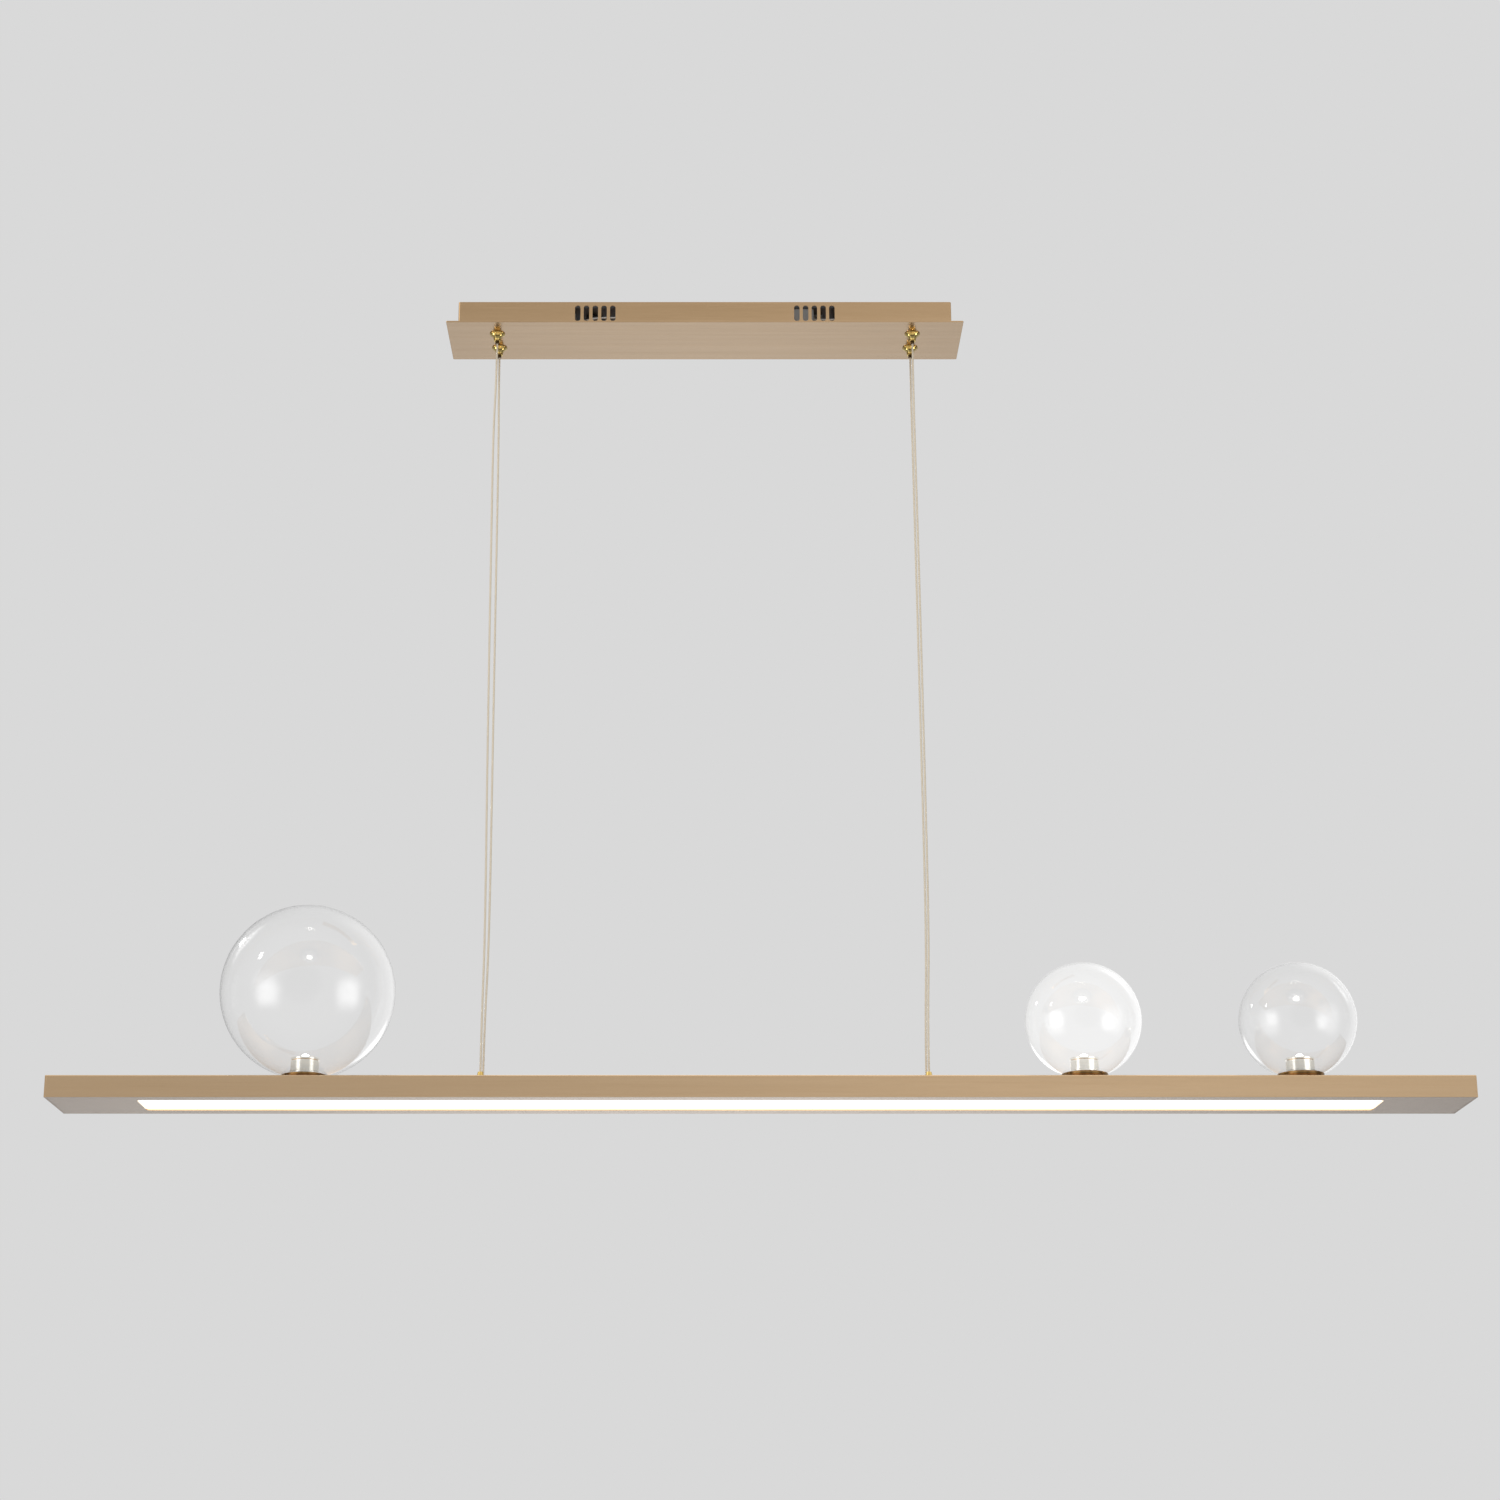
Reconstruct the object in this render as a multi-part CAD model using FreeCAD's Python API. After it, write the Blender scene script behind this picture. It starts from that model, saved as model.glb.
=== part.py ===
import FreeCAD
import Part
import math
import os

# Linear island pendant: a ceiling canopy, four suspension cables and a long
# light bar that carries three clear glass globes on its top face.
# Millimetres. X runs along the bar, Y points to the back, Z points up.
# The origin is the middle of the canopy's top, in the plane of the ceiling.

# Canopy: a folded box behind a wider flat face plate
canopy_height = 25.0
box_length = 450.0
box_width = 60.0
box_wall = 1.2
box_bend = 1.8
box_flange = 8.0
box_window_corner = 3.0
plate_overhang = 10.0
plate_thick = 1.5
plate_corner = 1.0
vent_width = 5.0
vent_pitch = 8.0
vents_in_group = 5
vent_group_x = 100.0
vent_below_top = 3.5
vent_above_floor = 4.5
stud_radius = 1.5
stud_height = 3.6
stud_from_end = 20.0
stud_from_wall = 3.2

# Ceiling bracket
bracket_width = 40.0
bracket_thick = 1.5
bracket_drop = 14.0
bracket_bend = 2.5
bracket_ear_corner = 5.0
ceiling_screw_spacing = 320.0
ceiling_slot_width = 4.5
ceiling_slot_length = 14.0
side_screw_radius = 2.0
side_screw_length = 7.0
side_screw_head_radius = 4.0
side_screw_head_height = 1.0
side_screw_head_slope = 0.6

# Supply cable's grommet
inlet_from_block = 31.0
inlet_bore_radius = 4.0
grommet_wall = 1.6
grommet_lip = 2.0

# Driver and terminal block under the bracket
driver_length = 152.0
driver_width = 38.0
driver_height = 17.0
driver_corner = 2.0
driver_x = 24.0
driver_tab = 8.0
driver_tab_width = 13.0
driver_tab_thick = 2.0
driver_port_y = 9.5
block_length = 28.0
block_width = 17.0
block_height = 13.0
block_step = 3.0
block_crest_share = 0.45
block_from_screw = 27.0
block_poles = 3
block_port_radius = 1.5
block_port_depth = 8.0
block_well_radius = 1.7
lead_radius = 0.8
lead_from_wall = 5.0
lead_sag = 5.0
lead_straight = 5.0
lead_turn_length = 20.0
lead_bow_y = 20.0
lead_loop = 8.5

# Suspension
hang_from_box_end = 35.0
hang_spacing_y = 30.0
drop = 691.0
cable_radius = 0.95
cable_slip = 0.3
cable_above_shank = 1.0
cable_in_stop = 3.0
crimp_length = 5.0
crimp_wall = 0.8
gripper_radius = 7.0
gripper_height = 7.5
gripper_neck_wall = 1.0
gripper_rim = 1.0
gripper_flare = 1.1
gripper_lip = 2.0
shank_radius = 4.0
shank_above_plate = 8.0
nib_wall = 0.5
nib_nose = 0.25
nib_collar = 0.65
nib_collar_height = 1.6
nib_tail = 2.2
nib_projection = 2.6

# Bar
bar_length = 1200.0
bar_width = 80.0
bar_height = 19.0
bar_wall = 1.5
bar_bend = 1.8
bar_offset_x = 47.0
cap_thick = 1.5
cap_rim_depth = 4.0
cap_rim_wall = 1.2
cap_rim_bend = 1.3
cover_thick = 1.5
cover_flange = 6.0
cover_flange_thick = 1.2
cover_flange_end = 2.0
slot_from_end = 75.0
slot_from_side = 15.0
slot_corner = 4.0
diffuser_thick = 2.0
diffuser_overlap = 3.0
tray_thick = 1.0
tray_bend = 1.5
tray_side_gap = 1.0
tray_end_gap = 4.0
fitting_room = 7.5
board_width = 30.0
board_thick = 1.2
led_pitch = 25.0
led_size = 3.0
led_height = 0.8

# Bar fittings
ferrule_radius = 4.25
ferrule_height = 7.0
ferrule_base_height = 2.45
ferrule_edge = 0.5
ferrule_nose_radius = 2.2
ferrule_waist = 0.55
ferrule_shank_radius = 3.0
ferrule_shank = 4.5
stop_radius = 2.1
stop_length = 3.8
stop_floor = 0.8
lead_lane_from_hang = 10.5

# Globes: name, distance from the bar's middle, outer radius
globes = (
    ("large", -388.0, 75.0),
    ("small_inner", 277.0, 50.0),
    ("small_outer", 461.0, 50.0),
)
glass_wall = 1.3
glass_lift = 4.3
collar_wall = 1.5
collar_height = 4.5
saucer_radius = 20.0
saucer_foot_radius = 16.5
saucer_rim = 0.7
saucer_belly = 0.9
saucer_belly_share = 0.45
saucer_groove_slip = 0.3
cup_radius = 12.3
cup_wall = 1.3
cup_floor = 2.0
cup_seat = 3.0
cup_height = 18.6
cup_ledge = 1.2
cup_edge = 0.5
lamp_core_thick = 2.4
lamp_core_below_rim = 2.0
lamp_notch = 2.0
lens_radius = 5.0
lens_skirt = 0.8
nipple_radius = 4.0
nipple_bore = 2.5
nipple_past_nut = 0.8
gasket_thick = 1.5
gasket_width = 3.6

# Clearances and small fasteners: a nut is its width across flats and its height
running_gap = 0.1
slip_gap = 0.15
seat_gap = 0.3
thread_gap = 0.35
nut_m3 = (5.5, 2.2)
nut_m6 = (10.0, 2.4)
nut_m8 = (12.0, 2.8)
screw_radius = 1.5
pan_head_radius = 2.8
pan_head_height = 1.6
pan_head_crown = 0.7

# Sizes and levels that several pieces share
plate_under = -canopy_height
box_floor = plate_under + plate_thick
side_screw_z = -(bracket_drop / 2 + 1)
block_x = -(ceiling_screw_spacing / 2 - block_from_screw)
inlet_x = block_x + inlet_from_block
hang_spacing_x = box_length - 2 * hang_from_box_end
cable_hole_radius = cable_radius + cable_slip
nib_radius = cable_hole_radius + nib_wall
nib_collar_radius = nib_radius + nib_collar
gripper_foot = plate_under - gripper_height
shank_top = box_floor + shank_above_plate
cable_top = shank_top + cable_above_shank
bar_top = plate_under - drop
bar_under = bar_top - bar_height
cover_top = bar_under + cover_thick
tray_top = bar_top - bar_wall - fitting_room
cable_low = bar_top - ferrule_shank - cable_in_stop
slot_length = bar_length - 2 * slot_from_end
slot_width = bar_width - 2 * slot_from_side
collar_bore = cup_radius + thread_gap
hang_points = [
    (name, sx * hang_spacing_x / 2, sy * hang_spacing_y / 2)
    for name, sx, sy in (
        ("front_left", -1, -1),
        ("front_right", 1, -1),
        ("rear_left", -1, 1),
        ("rear_right", 1, 1),
    )
]


def vec(x, y, z):
    return FreeCAD.Vector(x, y, z)


def block(x0, x1, y0, y1, z0, z1):
    """A plain box between two corners."""
    return Part.makeBox(x1 - x0, y1 - y0, z1 - z0, vec(x0, y0, z0))


def rod(radius, z0, z1, x=0.0, y=0.0):
    """An upright cylinder between two levels."""
    return Part.makeCylinder(radius, z1 - z0, vec(x, y, z0))


def ring(outer, inner, z0, z1, x=0.0, y=0.0):
    """An upright tube between two levels."""
    return rod(outer, z0, z1, x, y).cut(rod(inner, z0, z1, x, y))


def line(a, b):
    """A profile edge between two points given as radius and height."""
    return Part.LineSegment(vec(a[0], 0, a[1]), vec(b[0], 0, b[1])).toShape()


def arc(a, mid, b):
    """A profile arc through three points given as radius and height."""
    return Part.Arc(vec(a[0], 0, a[1]), vec(mid[0], 0, mid[1]), vec(b[0], 0, b[1])).toShape()


def turned(edges, x=0.0, y=0.0):
    """A solid of revolution about an upright axis, from a closed profile."""
    face = Part.Face(Part.Wire(edges))
    solid = face.revolve(vec(0, 0, 0), vec(0, 0, 1), 360)
    if solid.Volume < 0:
        solid.reverse()
    solid.translate(vec(x, y, 0))
    return solid


def turned_polygon(points, x=0.0, y=0.0):
    """A solid of revolution whose profile has straight sides only."""
    closed = points + [points[0]]
    return turned([line(a, b) for a, b in zip(closed, closed[1:])], x, y)


def hex_nut(size, z0, bore, x=0.0, y=0.0):
    """A hexagon nut with its flats facing front and back."""
    flats, height = size
    corner = flats / math.sqrt(3)
    points = [vec(x + corner * math.cos(math.radians(60 * k)),
                  y + corner * math.sin(math.radians(60 * k)), z0) for k in range(6)]
    prism = Part.Face(Part.makePolygon(points + [points[0]])).extrude(vec(0, 0, height))
    return prism.cut(rod(bore, z0, z0 + height, x, y))


def edges_along(shape, axis, pick=lambda middle: True):
    """Straight edges that run along one axis and whose middle passes a test."""
    found = []
    for edge in shape.Edges:
        ends = [v.Point for v in edge.Vertexes]
        if len(ends) == 2:
            run = (ends[1] - ends[0]).normalize()
            if abs(abs(run.dot(axis)) - 1) < 1e-6 and pick((ends[0] + ends[1]) * 0.5):
                found.append(edge)
    return found


def rounded_block(x0, x1, y0, y1, z0, z1, radius):
    """A box with rounded upright edges."""
    shape = block(x0, x1, y0, y1, z0, z1)
    return shape.makeFillet(radius, edges_along(shape, vec(0, 0, 1)))


def slot_prism(x, z0, z1, length, width):
    """An upright prism on the X axis whose outline is a slot along X."""
    half = (length - width) / 2
    middle = block(x - half, x + half, -width / 2, width / 2, z0, z1)
    return middle.fuse([rod(width / 2, z0, z1, x - half), rod(width / 2, z0, z1, x + half)])


def channel(x0, x1, width, top, low, wall, bend):
    """An inverted U of folded sheet along X."""
    outer = block(x0, x1, -width / 2, width / 2, low, top)
    outer = outer.makeFillet(bend, edges_along(outer, vec(1, 0, 0), lambda middle: middle.z > low))
    inner = block(x0, x1, -width / 2 + wall, width / 2 - wall, low, top - wall)
    if bend > wall:
        inner = inner.makeFillet(bend - wall, edges_along(inner, vec(1, 0, 0), lambda middle: middle.z > low))
    return outer.cut(inner)


def lead(points):
    """An insulated wire: straight runs joined by the largest tangent arcs that they leave room for."""
    corners = [vec(*p) for p in points]
    edges = []
    start = corners[0]
    for before, here, after in zip(corners, corners[1:], corners[2:]):
        into = here - before
        away = after - here
        reach = 0.45 * min(into.Length, away.Length)
        into = into.normalize()
        away = away.normalize()
        half_turn = into.getAngle(away) / 2
        bend = reach / math.tan(half_turn)
        first = here - into * reach
        last = here + away * reach
        inward = (away - into).normalize()
        middle = here + inward * (bend / math.cos(half_turn) - bend)
        edges.append(Part.LineSegment(start, first).toShape())
        edges.append(Part.Arc(first, middle, last).toShape())
        start = last
    edges.append(Part.LineSegment(start, corners[-1]).toShape())
    section = Part.Circle(corners[0], (corners[1] - corners[0]).normalize(), lead_radius).toShape()
    return Part.Wire(edges).makePipeShell([Part.Wire(section)], True, False)


def one_solid(shape):
    """The shape's only solid, with its split faces merged."""
    clean = shape.removeSplitter()
    return clean.Solids[0] if len(clean.Solids) == 1 else clean


def side_screw_hole(x, radius):
    """The bore through an end wall at x, along X."""
    start = vec(x - side_screw_length / 2, 0, side_screw_z)
    return Part.makeCylinder(radius, side_screw_length, start, vec(1, 0, 0))


def ceiling_bracket():
    """A steel strap against the ceiling, with both ends bent down inside the canopy's end walls."""
    half = box_length / 2 - box_wall - seat_gap
    strap = channel(-bracket_width / 2, bracket_width / 2, 2 * half, 0, -bracket_drop,
                    bracket_thick, bracket_bend)
    strap.rotate(vec(0, 0, 0), vec(0, 0, 1), 90)
    ear_edges = edges_along(strap, vec(1, 0, 0), lambda middle: middle.z < -bracket_drop + bracket_thick)
    strap = strap.makeFillet(bracket_ear_corner, ear_edges)
    cuts = [rod(inlet_bore_radius + grommet_wall, -bracket_thick, 0, inlet_x)]
    for side in (-1, 1):
        cuts.append(slot_prism(side * ceiling_screw_spacing / 2, -bracket_thick, 0,
                               ceiling_slot_length, ceiling_slot_width))
        cuts.append(rod(screw_radius + running_gap, -bracket_thick, 0, driver_screw_x(side)))
        cuts.append(side_screw_hole(side * half, side_screw_radius + running_gap))
    return one_solid(strap.cut(cuts))


def canopy_box():
    """A folded sheet frame, open to the ceiling, with louvres of upright slots and an inward floor flange."""
    half_x = box_length / 2
    half_y = box_width / 2
    in_x = half_x - box_wall
    in_y = half_y - box_wall
    shell = rounded_block(-half_x, half_x, -half_y, half_y, box_floor, 0, box_bend)
    hollow = rounded_block(-in_x, in_x, -in_y, in_y, box_floor + box_wall, 0, box_bend - box_wall)
    window_x = in_x - box_flange
    window_y = half_y - box_flange
    window = rounded_block(-window_x, window_x, -window_y, window_y, box_floor, 0, box_window_corner)
    cuts = [hollow, window]
    low = box_floor + vent_above_floor + vent_width / 2
    high = -vent_below_top - vent_width / 2
    for group in (-1, 1):
        for k in range(vents_in_group):
            x = group * vent_group_x + (k - (vents_in_group - 1) / 2) * vent_pitch
            cuts.append(block(x - vent_width / 2, x + vent_width / 2, -half_y, half_y, low, high))
            for z in (low, high):
                cuts.append(Part.makeCylinder(vent_width / 2, box_width, vec(x, -half_y, z), vec(0, 1, 0)))
    for side in (-1, 1):
        cuts.append(side_screw_hole(side * half_x, side_screw_radius + seat_gap))
    for x, y in stud_places():
        cuts.append(rod(stud_radius + running_gap, box_floor, box_floor + box_wall, x, y))
    return one_solid(shell.cut(cuts))


def stud_places():
    """Where the face plate's studs stand: three along each long side."""
    x = box_length / 2 - stud_from_end
    y = box_width / 2 - box_wall - stud_from_wall
    return [(sx * x, sy * y) for sx in (-1, 0, 1) for sy in (-1, 1)]


def canopy_plate():
    """The flat face plate with the welded studs that hold it to the box."""
    half_x = box_length / 2 + plate_overhang
    half_y = box_width / 2 + plate_overhang
    plate = rounded_block(-half_x, half_x, -half_y, half_y, plate_under, box_floor, plate_corner)
    studs = [rod(stud_radius, box_floor, box_floor + stud_height, x, y) for x, y in stud_places()]
    holes = [rod(shank_radius + running_gap, plate_under, box_floor, x, y) for _, x, y in hang_points]
    return one_solid(plate.fuse(studs).cut(holes))


def canopy_nuts():
    """The small nuts on the plate's studs and the large ones on the cable grippers."""
    nuts = [hex_nut(nut_m3, box_floor + box_wall, stud_radius + running_gap, x, y) for x, y in stud_places()]
    nuts += [hex_nut(nut_m8, box_floor, shank_radius + running_gap, x, y) for _, x, y in hang_points]
    return Part.makeCompound(nuts)


def canopy_side_screws():
    """One thin-headed screw through each end wall into the bracket's ear."""
    screws = []
    for side in (-1, 1):
        seat = vec(side * box_length / 2, 0, side_screw_z)
        out = vec(side, 0, 0)
        head = Part.makeCone(side_screw_head_radius, side_screw_head_radius - side_screw_head_slope,
                             side_screw_head_height, seat, out)
        shaft = Part.makeCylinder(side_screw_radius, side_screw_length, seat, out * -1)
        screws.append(one_solid(head.fuse(shaft)))
    return Part.makeCompound(screws)


def cable_grommet():
    """A flanged bush that lines the supply cable's hole in the bracket."""
    neck = inlet_bore_radius + grommet_wall - running_gap / 2
    flange = neck + grommet_lip
    low = -bracket_thick - grommet_wall
    return turned_polygon([(inlet_bore_radius, low), (flange, low), (flange, -bracket_thick),
                           (neck, -bracket_thick), (neck, 0), (inlet_bore_radius, 0)], inlet_x)


def driver_screw_x(side):
    """Where the driver's tab and its screw are, at its left or right end."""
    return driver_x + side * (driver_length + driver_tab) / 2


def led_driver():
    """The sealed power supply: a moulded box with a screw tab at each end."""
    top = -bracket_thick
    half = driver_length / 2
    half_y = driver_width / 2
    body = block(driver_x - half, driver_x + half, -half_y, half_y, top - driver_height, top)
    rounded = edges_along(body, vec(1, 0, 0), lambda middle: middle.z < top) + edges_along(body, vec(0, 0, 1))
    body = body.makeFillet(driver_corner, rounded)
    tabs = block(driver_x - half - driver_tab, driver_x + half + driver_tab,
                 -driver_tab_width / 2, driver_tab_width / 2, top - driver_tab_thick, top)
    holes = [rod(screw_radius + running_gap, top - driver_tab_thick, top, driver_screw_x(side))
             for side in (-1, 1)]
    return one_solid(body.fuse(tabs).cut(holes))


def driver_screws():
    """Two pan-head screws that hold the driver's tabs up against the bracket."""
    seat = -bracket_thick - driver_tab_thick
    crown = seat - pan_head_height
    profile = [(0, 0), (screw_radius, 0), (screw_radius, seat), (pan_head_radius, seat),
               (pan_head_radius, crown + pan_head_crown), (pan_head_radius - pan_head_crown, crown),
               (0, crown)]
    return Part.makeCompound([turned_polygon(profile, driver_screw_x(side)) for side in (-1, 1)])


def terminal_block():
    """A three-pole screw terminal: a stepped moulding with wire ports in its ends and screw wells below."""
    top = -bracket_thick
    low = top - block_height
    half = block_length / 2
    half_y = block_width / 2
    crest = half * block_crest_share
    cuts = []
    for side in (-1, 1):
        x0, x1 = sorted((block_x + side * half, block_x + side * crest))
        cuts.append(block(x0, x1, -half_y, half_y, low, low + block_step))
    for k in range(block_poles):
        y = (k - (block_poles - 1) / 2) * block_width / block_poles
        for side in (-1, 1):
            mouth = vec(block_x + side * half, y, top - block_height / 2)
            cuts.append(Part.makeCylinder(block_port_radius, block_port_depth, mouth, vec(-side, 0, 0)))
            cuts.append(rod(block_well_radius, low, top - block_height / 2, block_x + side * crest / 2, y))
    return one_solid(block(block_x - half, block_x + half, -half_y, half_y, low, top).cut(cuts))


def canopy_leads():
    """Leads from the terminal block to the driver, and from the driver to the two live cables."""
    z_port = -bracket_thick - block_height / 2
    z_sag = z_port - lead_sag
    x_block = block_x + block_length / 2
    x_left = driver_x - driver_length / 2
    x_right = driver_x + driver_length / 2
    x_hang = hang_spacing_x / 2
    y_wall = box_width / 2 - box_wall - lead_from_wall
    pole = block_width / block_poles
    leads = []
    for side in (-1, 1):
        leads.append(lead([
            (x_block - block_port_depth / 2, side * pole, z_port),
            (x_block + lead_straight, side * pole, z_port),
            (x_block + lead_turn_length, side * y_wall, z_sag),
            (x_left - lead_turn_length, side * y_wall, z_sag),
            (x_left - lead_straight, side * driver_port_y, z_port),
            (x_left - slip_gap, side * driver_port_y, z_port)]))
        leads.append(lead([
            (x_right + slip_gap, side * driver_port_y, z_port),
            (x_right + lead_straight, side * driver_port_y, z_port),
            (x_right + lead_turn_length, side * lead_bow_y, z_sag),
            (x_hang - lead_turn_length, side * lead_bow_y, z_sag),
            (x_hang, side * hang_spacing_y / 2, cable_top + lead_loop),
            (x_hang, side * hang_spacing_y / 2, cable_top + slip_gap)]))
    return Part.makeCompound(leads)


def gripper_body(x, y):
    """A trumpet-shaped cable gripper: a flange under the plate, a flared cone and a threaded shank above."""
    rim_low = plate_under - gripper_rim
    bore = nib_collar_radius + slip_gap
    exit_radius = nib_radius + slip_gap
    neck = exit_radius + gripper_neck_wall
    lip = gripper_foot + gripper_lip
    flare = ((gripper_radius + neck) / 2 - gripper_flare, (rim_low + gripper_foot) / 2 + gripper_flare / 2)
    edges = [line((bore, shank_top), (shank_radius, shank_top)),
             line((shank_radius, shank_top), (shank_radius, plate_under)),
             line((shank_radius, plate_under), (gripper_radius, plate_under)),
             line((gripper_radius, plate_under), (gripper_radius, rim_low)),
             arc((gripper_radius, rim_low), flare, (neck, gripper_foot)),
             line((neck, gripper_foot), (exit_radius, gripper_foot)),
             line((exit_radius, gripper_foot), (exit_radius, lip)),
             line((exit_radius, lip), (bore, lip)),
             line((bore, lip), (bore, shank_top))]
    return turned(edges, x, y)


def gripper_nib(x, y):
    """The spring-loaded nib that frees the cable when it is pushed up into the gripper."""
    tip = gripper_foot - nib_projection
    collar_low = gripper_foot + gripper_lip + running_gap / 2
    collar_high = collar_low + nib_collar_height
    tail = collar_high + nib_tail
    return turned_polygon([(cable_hole_radius, tip), (nib_radius - nib_nose, tip),
                           (nib_radius, tip + nib_nose), (nib_radius, collar_low),
                           (nib_collar_radius, collar_low), (nib_collar_radius, collar_high),
                           (nib_radius, collar_high),
                           (nib_radius, tail), (cable_hole_radius, tail)], x, y)


def suspension_cable(x, y):
    """A coated steel cable, pulled straight by the bar, from its canopy crimp to its stop in the bar."""
    return rod(cable_radius, cable_low, cable_top, x, y)


def cable_crimps():
    """The crimped sleeves on the cables' upper ends, which also join the live ones to their leads."""
    low = cable_top - crimp_length / 2
    bore = cable_radius + running_gap
    return Part.makeCompound([ring(bore + crimp_wall, bore, low, low + crimp_length, x, y)
                              for _, x, y in hang_points])


def bar_housing():
    """The brushed channel that forms the bar's top and sides, drilled for the cables and the globes."""
    half = bar_length / 2 - cap_thick
    ends = (bar_offset_x - half, bar_offset_x + half)
    shape = channel(*ends, bar_width, bar_top, bar_under, bar_wall, bar_bend)
    low = bar_top - bar_wall
    cuts = [rod(ferrule_shank_radius + running_gap, low, bar_top, x, y) for _, x, y in hang_points]
    cuts += [rod(nipple_radius + running_gap, low, bar_top, bar_offset_x + along) for _, along, _ in globes]
    return one_solid(shape.cut(cuts))


def bar_end_cap(side):
    """An end plate with an inner rim that plugs into the channel."""
    outer_face = bar_offset_x + side * bar_length / 2
    inner_face = outer_face - side * cap_thick
    x0, x1 = sorted((outer_face, inner_face))
    plate = block(x0, x1, -bar_width / 2, bar_width / 2, bar_under, bar_top)
    plate = plate.makeFillet(bar_bend, edges_along(plate, vec(1, 0, 0), lambda middle: middle.z > bar_under))
    r0, r1 = sorted((inner_face, inner_face - side * cap_rim_depth))
    rim = channel(r0, r1, bar_width - 2 * (bar_wall + running_gap), bar_top - bar_wall - running_gap,
                  cover_top + seat_gap, cap_rim_wall, cap_rim_bend)
    return one_solid(plate.fuse(rim))


def bottom_cover():
    """The flat underside with the long light slot, and two upturned edges that clip inside the channel."""
    half_x = bar_length / 2 - cap_thick - running_gap
    half_y = bar_width / 2 - bar_wall - running_gap
    sheet = block(bar_offset_x - half_x, bar_offset_x + half_x, -half_y, half_y, bar_under, cover_top)
    flange_half = half_x - cap_rim_depth - cover_flange_end
    flanges = []
    for side in (-1, 1):
        y0, y1 = sorted((side * half_y, side * (half_y - cover_flange_thick)))
        flanges.append(block(bar_offset_x - flange_half, bar_offset_x + flange_half, y0, y1,
                             cover_top, cover_top + cover_flange))
    slot = rounded_block(bar_offset_x - slot_length / 2, bar_offset_x + slot_length / 2,
                         -slot_width / 2, slot_width / 2, bar_under, cover_top, slot_corner)
    return one_solid(sheet.fuse(flanges).cut(slot))


def diffuser():
    """The opal strip that lies on the cover's inner face, over the slot."""
    half_x = slot_length / 2 + diffuser_overlap
    half_y = slot_width / 2 + diffuser_overlap
    return rounded_block(bar_offset_x - half_x, bar_offset_x + half_x, -half_y, half_y,
                         cover_top, cover_top + diffuser_thick, slot_corner)


def led_tray():
    """The folded aluminium tray that stands on the cover and holds the light strip above the diffuser."""
    half_x = slot_length / 2 + diffuser_overlap + tray_end_gap
    half_y = slot_width / 2 + diffuser_overlap + tray_side_gap + tray_thick
    return channel(bar_offset_x - half_x, bar_offset_x + half_x, 2 * half_y, tray_top, cover_top,
                   tray_thick, tray_bend)


def led_strip():
    """The long circuit board under the tray's web, with its row of light-emitting chips."""
    top = tray_top - tray_thick
    face = top - board_thick
    half = (slot_length - led_pitch) / 2
    board = block(bar_offset_x - half, bar_offset_x + half, -board_width / 2, board_width / 2, face, top)
    count = int(2 * half // led_pitch)
    chip = led_size / 2
    chips = []
    for k in range(count):
        x = bar_offset_x + (k - (count - 1) / 2) * led_pitch
        chips.append(block(x - chip, x + chip, -chip, chip, face - led_height, face))
    return one_solid(board.fuse(chips))


def ferrule(x, y):
    """The small turned cable outlet on the bar's top, with its threaded shank."""
    foot = bar_top - ferrule_shank
    shoulder = bar_top + ferrule_base_height
    nose = bar_top + ferrule_height
    waist = (ferrule_nose_radius + ferrule_waist, (shoulder + nose) / 2)
    edges = [line((cable_hole_radius, foot), (ferrule_shank_radius, foot)),
             line((ferrule_shank_radius, foot), (ferrule_shank_radius, bar_top)),
             line((ferrule_shank_radius, bar_top), (ferrule_radius, bar_top)),
             line((ferrule_radius, bar_top), (ferrule_radius, shoulder - ferrule_edge)),
             line((ferrule_radius, shoulder - ferrule_edge), (ferrule_radius - ferrule_edge, shoulder)),
             arc((ferrule_radius - ferrule_edge, shoulder), waist, (ferrule_nose_radius, nose)),
             line((ferrule_nose_radius, nose), (cable_hole_radius, nose)),
             line((cable_hole_radius, nose), (cable_hole_radius, foot))]
    return turned(edges, x, y)


def cable_stops():
    """The crimped stops that bear on the ferrules' shanks from inside and carry the bar's weight."""
    high = bar_top - ferrule_shank
    low = high - stop_length
    bore = cable_radius + running_gap
    profile = [(0, low), (stop_radius, low), (stop_radius, high), (bore, high),
               (bore, low + stop_floor), (0, low + stop_floor)]
    return Part.makeCompound([turned_polygon(profile, x, y) for _, x, y in hang_points])


def bar_nuts():
    """The nuts under the bar's top: one on each ferrule and one on each globe nipple."""
    high = bar_top - bar_wall
    nuts = [hex_nut(nut_m6, high - nut_m6[1], ferrule_shank_radius + running_gap, x, y)
            for _, x, y in hang_points]
    nuts += [hex_nut(nut_m8, high - nut_m8[1], nipple_radius + running_gap, bar_offset_x + along)
             for _, along, _ in globes]
    return Part.makeCompound(nuts)


def bar_leads():
    """Leads inside the bar, from the cable stops to the light strip and to each globe's lamp."""
    z = bar_top - ferrule_shank - lead_radius
    lane = hang_spacing_y / 2 + lead_lane_from_hang
    from_stop = stop_radius + slip_gap
    near_nipple = nut_m8[0] / 2 + lead_radius + seat_gap
    x_hang = hang_spacing_x / 2
    lamp_x = {name: bar_offset_x + along for name, along, _ in globes}
    routes = (
        (-1, 1, lamp_x["small_inner"]),
        (1, 1, lamp_x["small_outer"]),
        (1, -1, lamp_x["large"]),
        (-1, -1, bar_offset_x),
    )
    leads = []
    for side, way, x_end in routes:
        leads.append(lead([(x_hang + way * from_stop, side * hang_spacing_y / 2, z),
                           (x_hang + way * lead_turn_length, side * lane, z),
                           (x_end - way * lead_turn_length, side * lane, z),
                           (x_end, side * near_nipple, z)]))
    return Part.makeCompound(leads)


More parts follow.
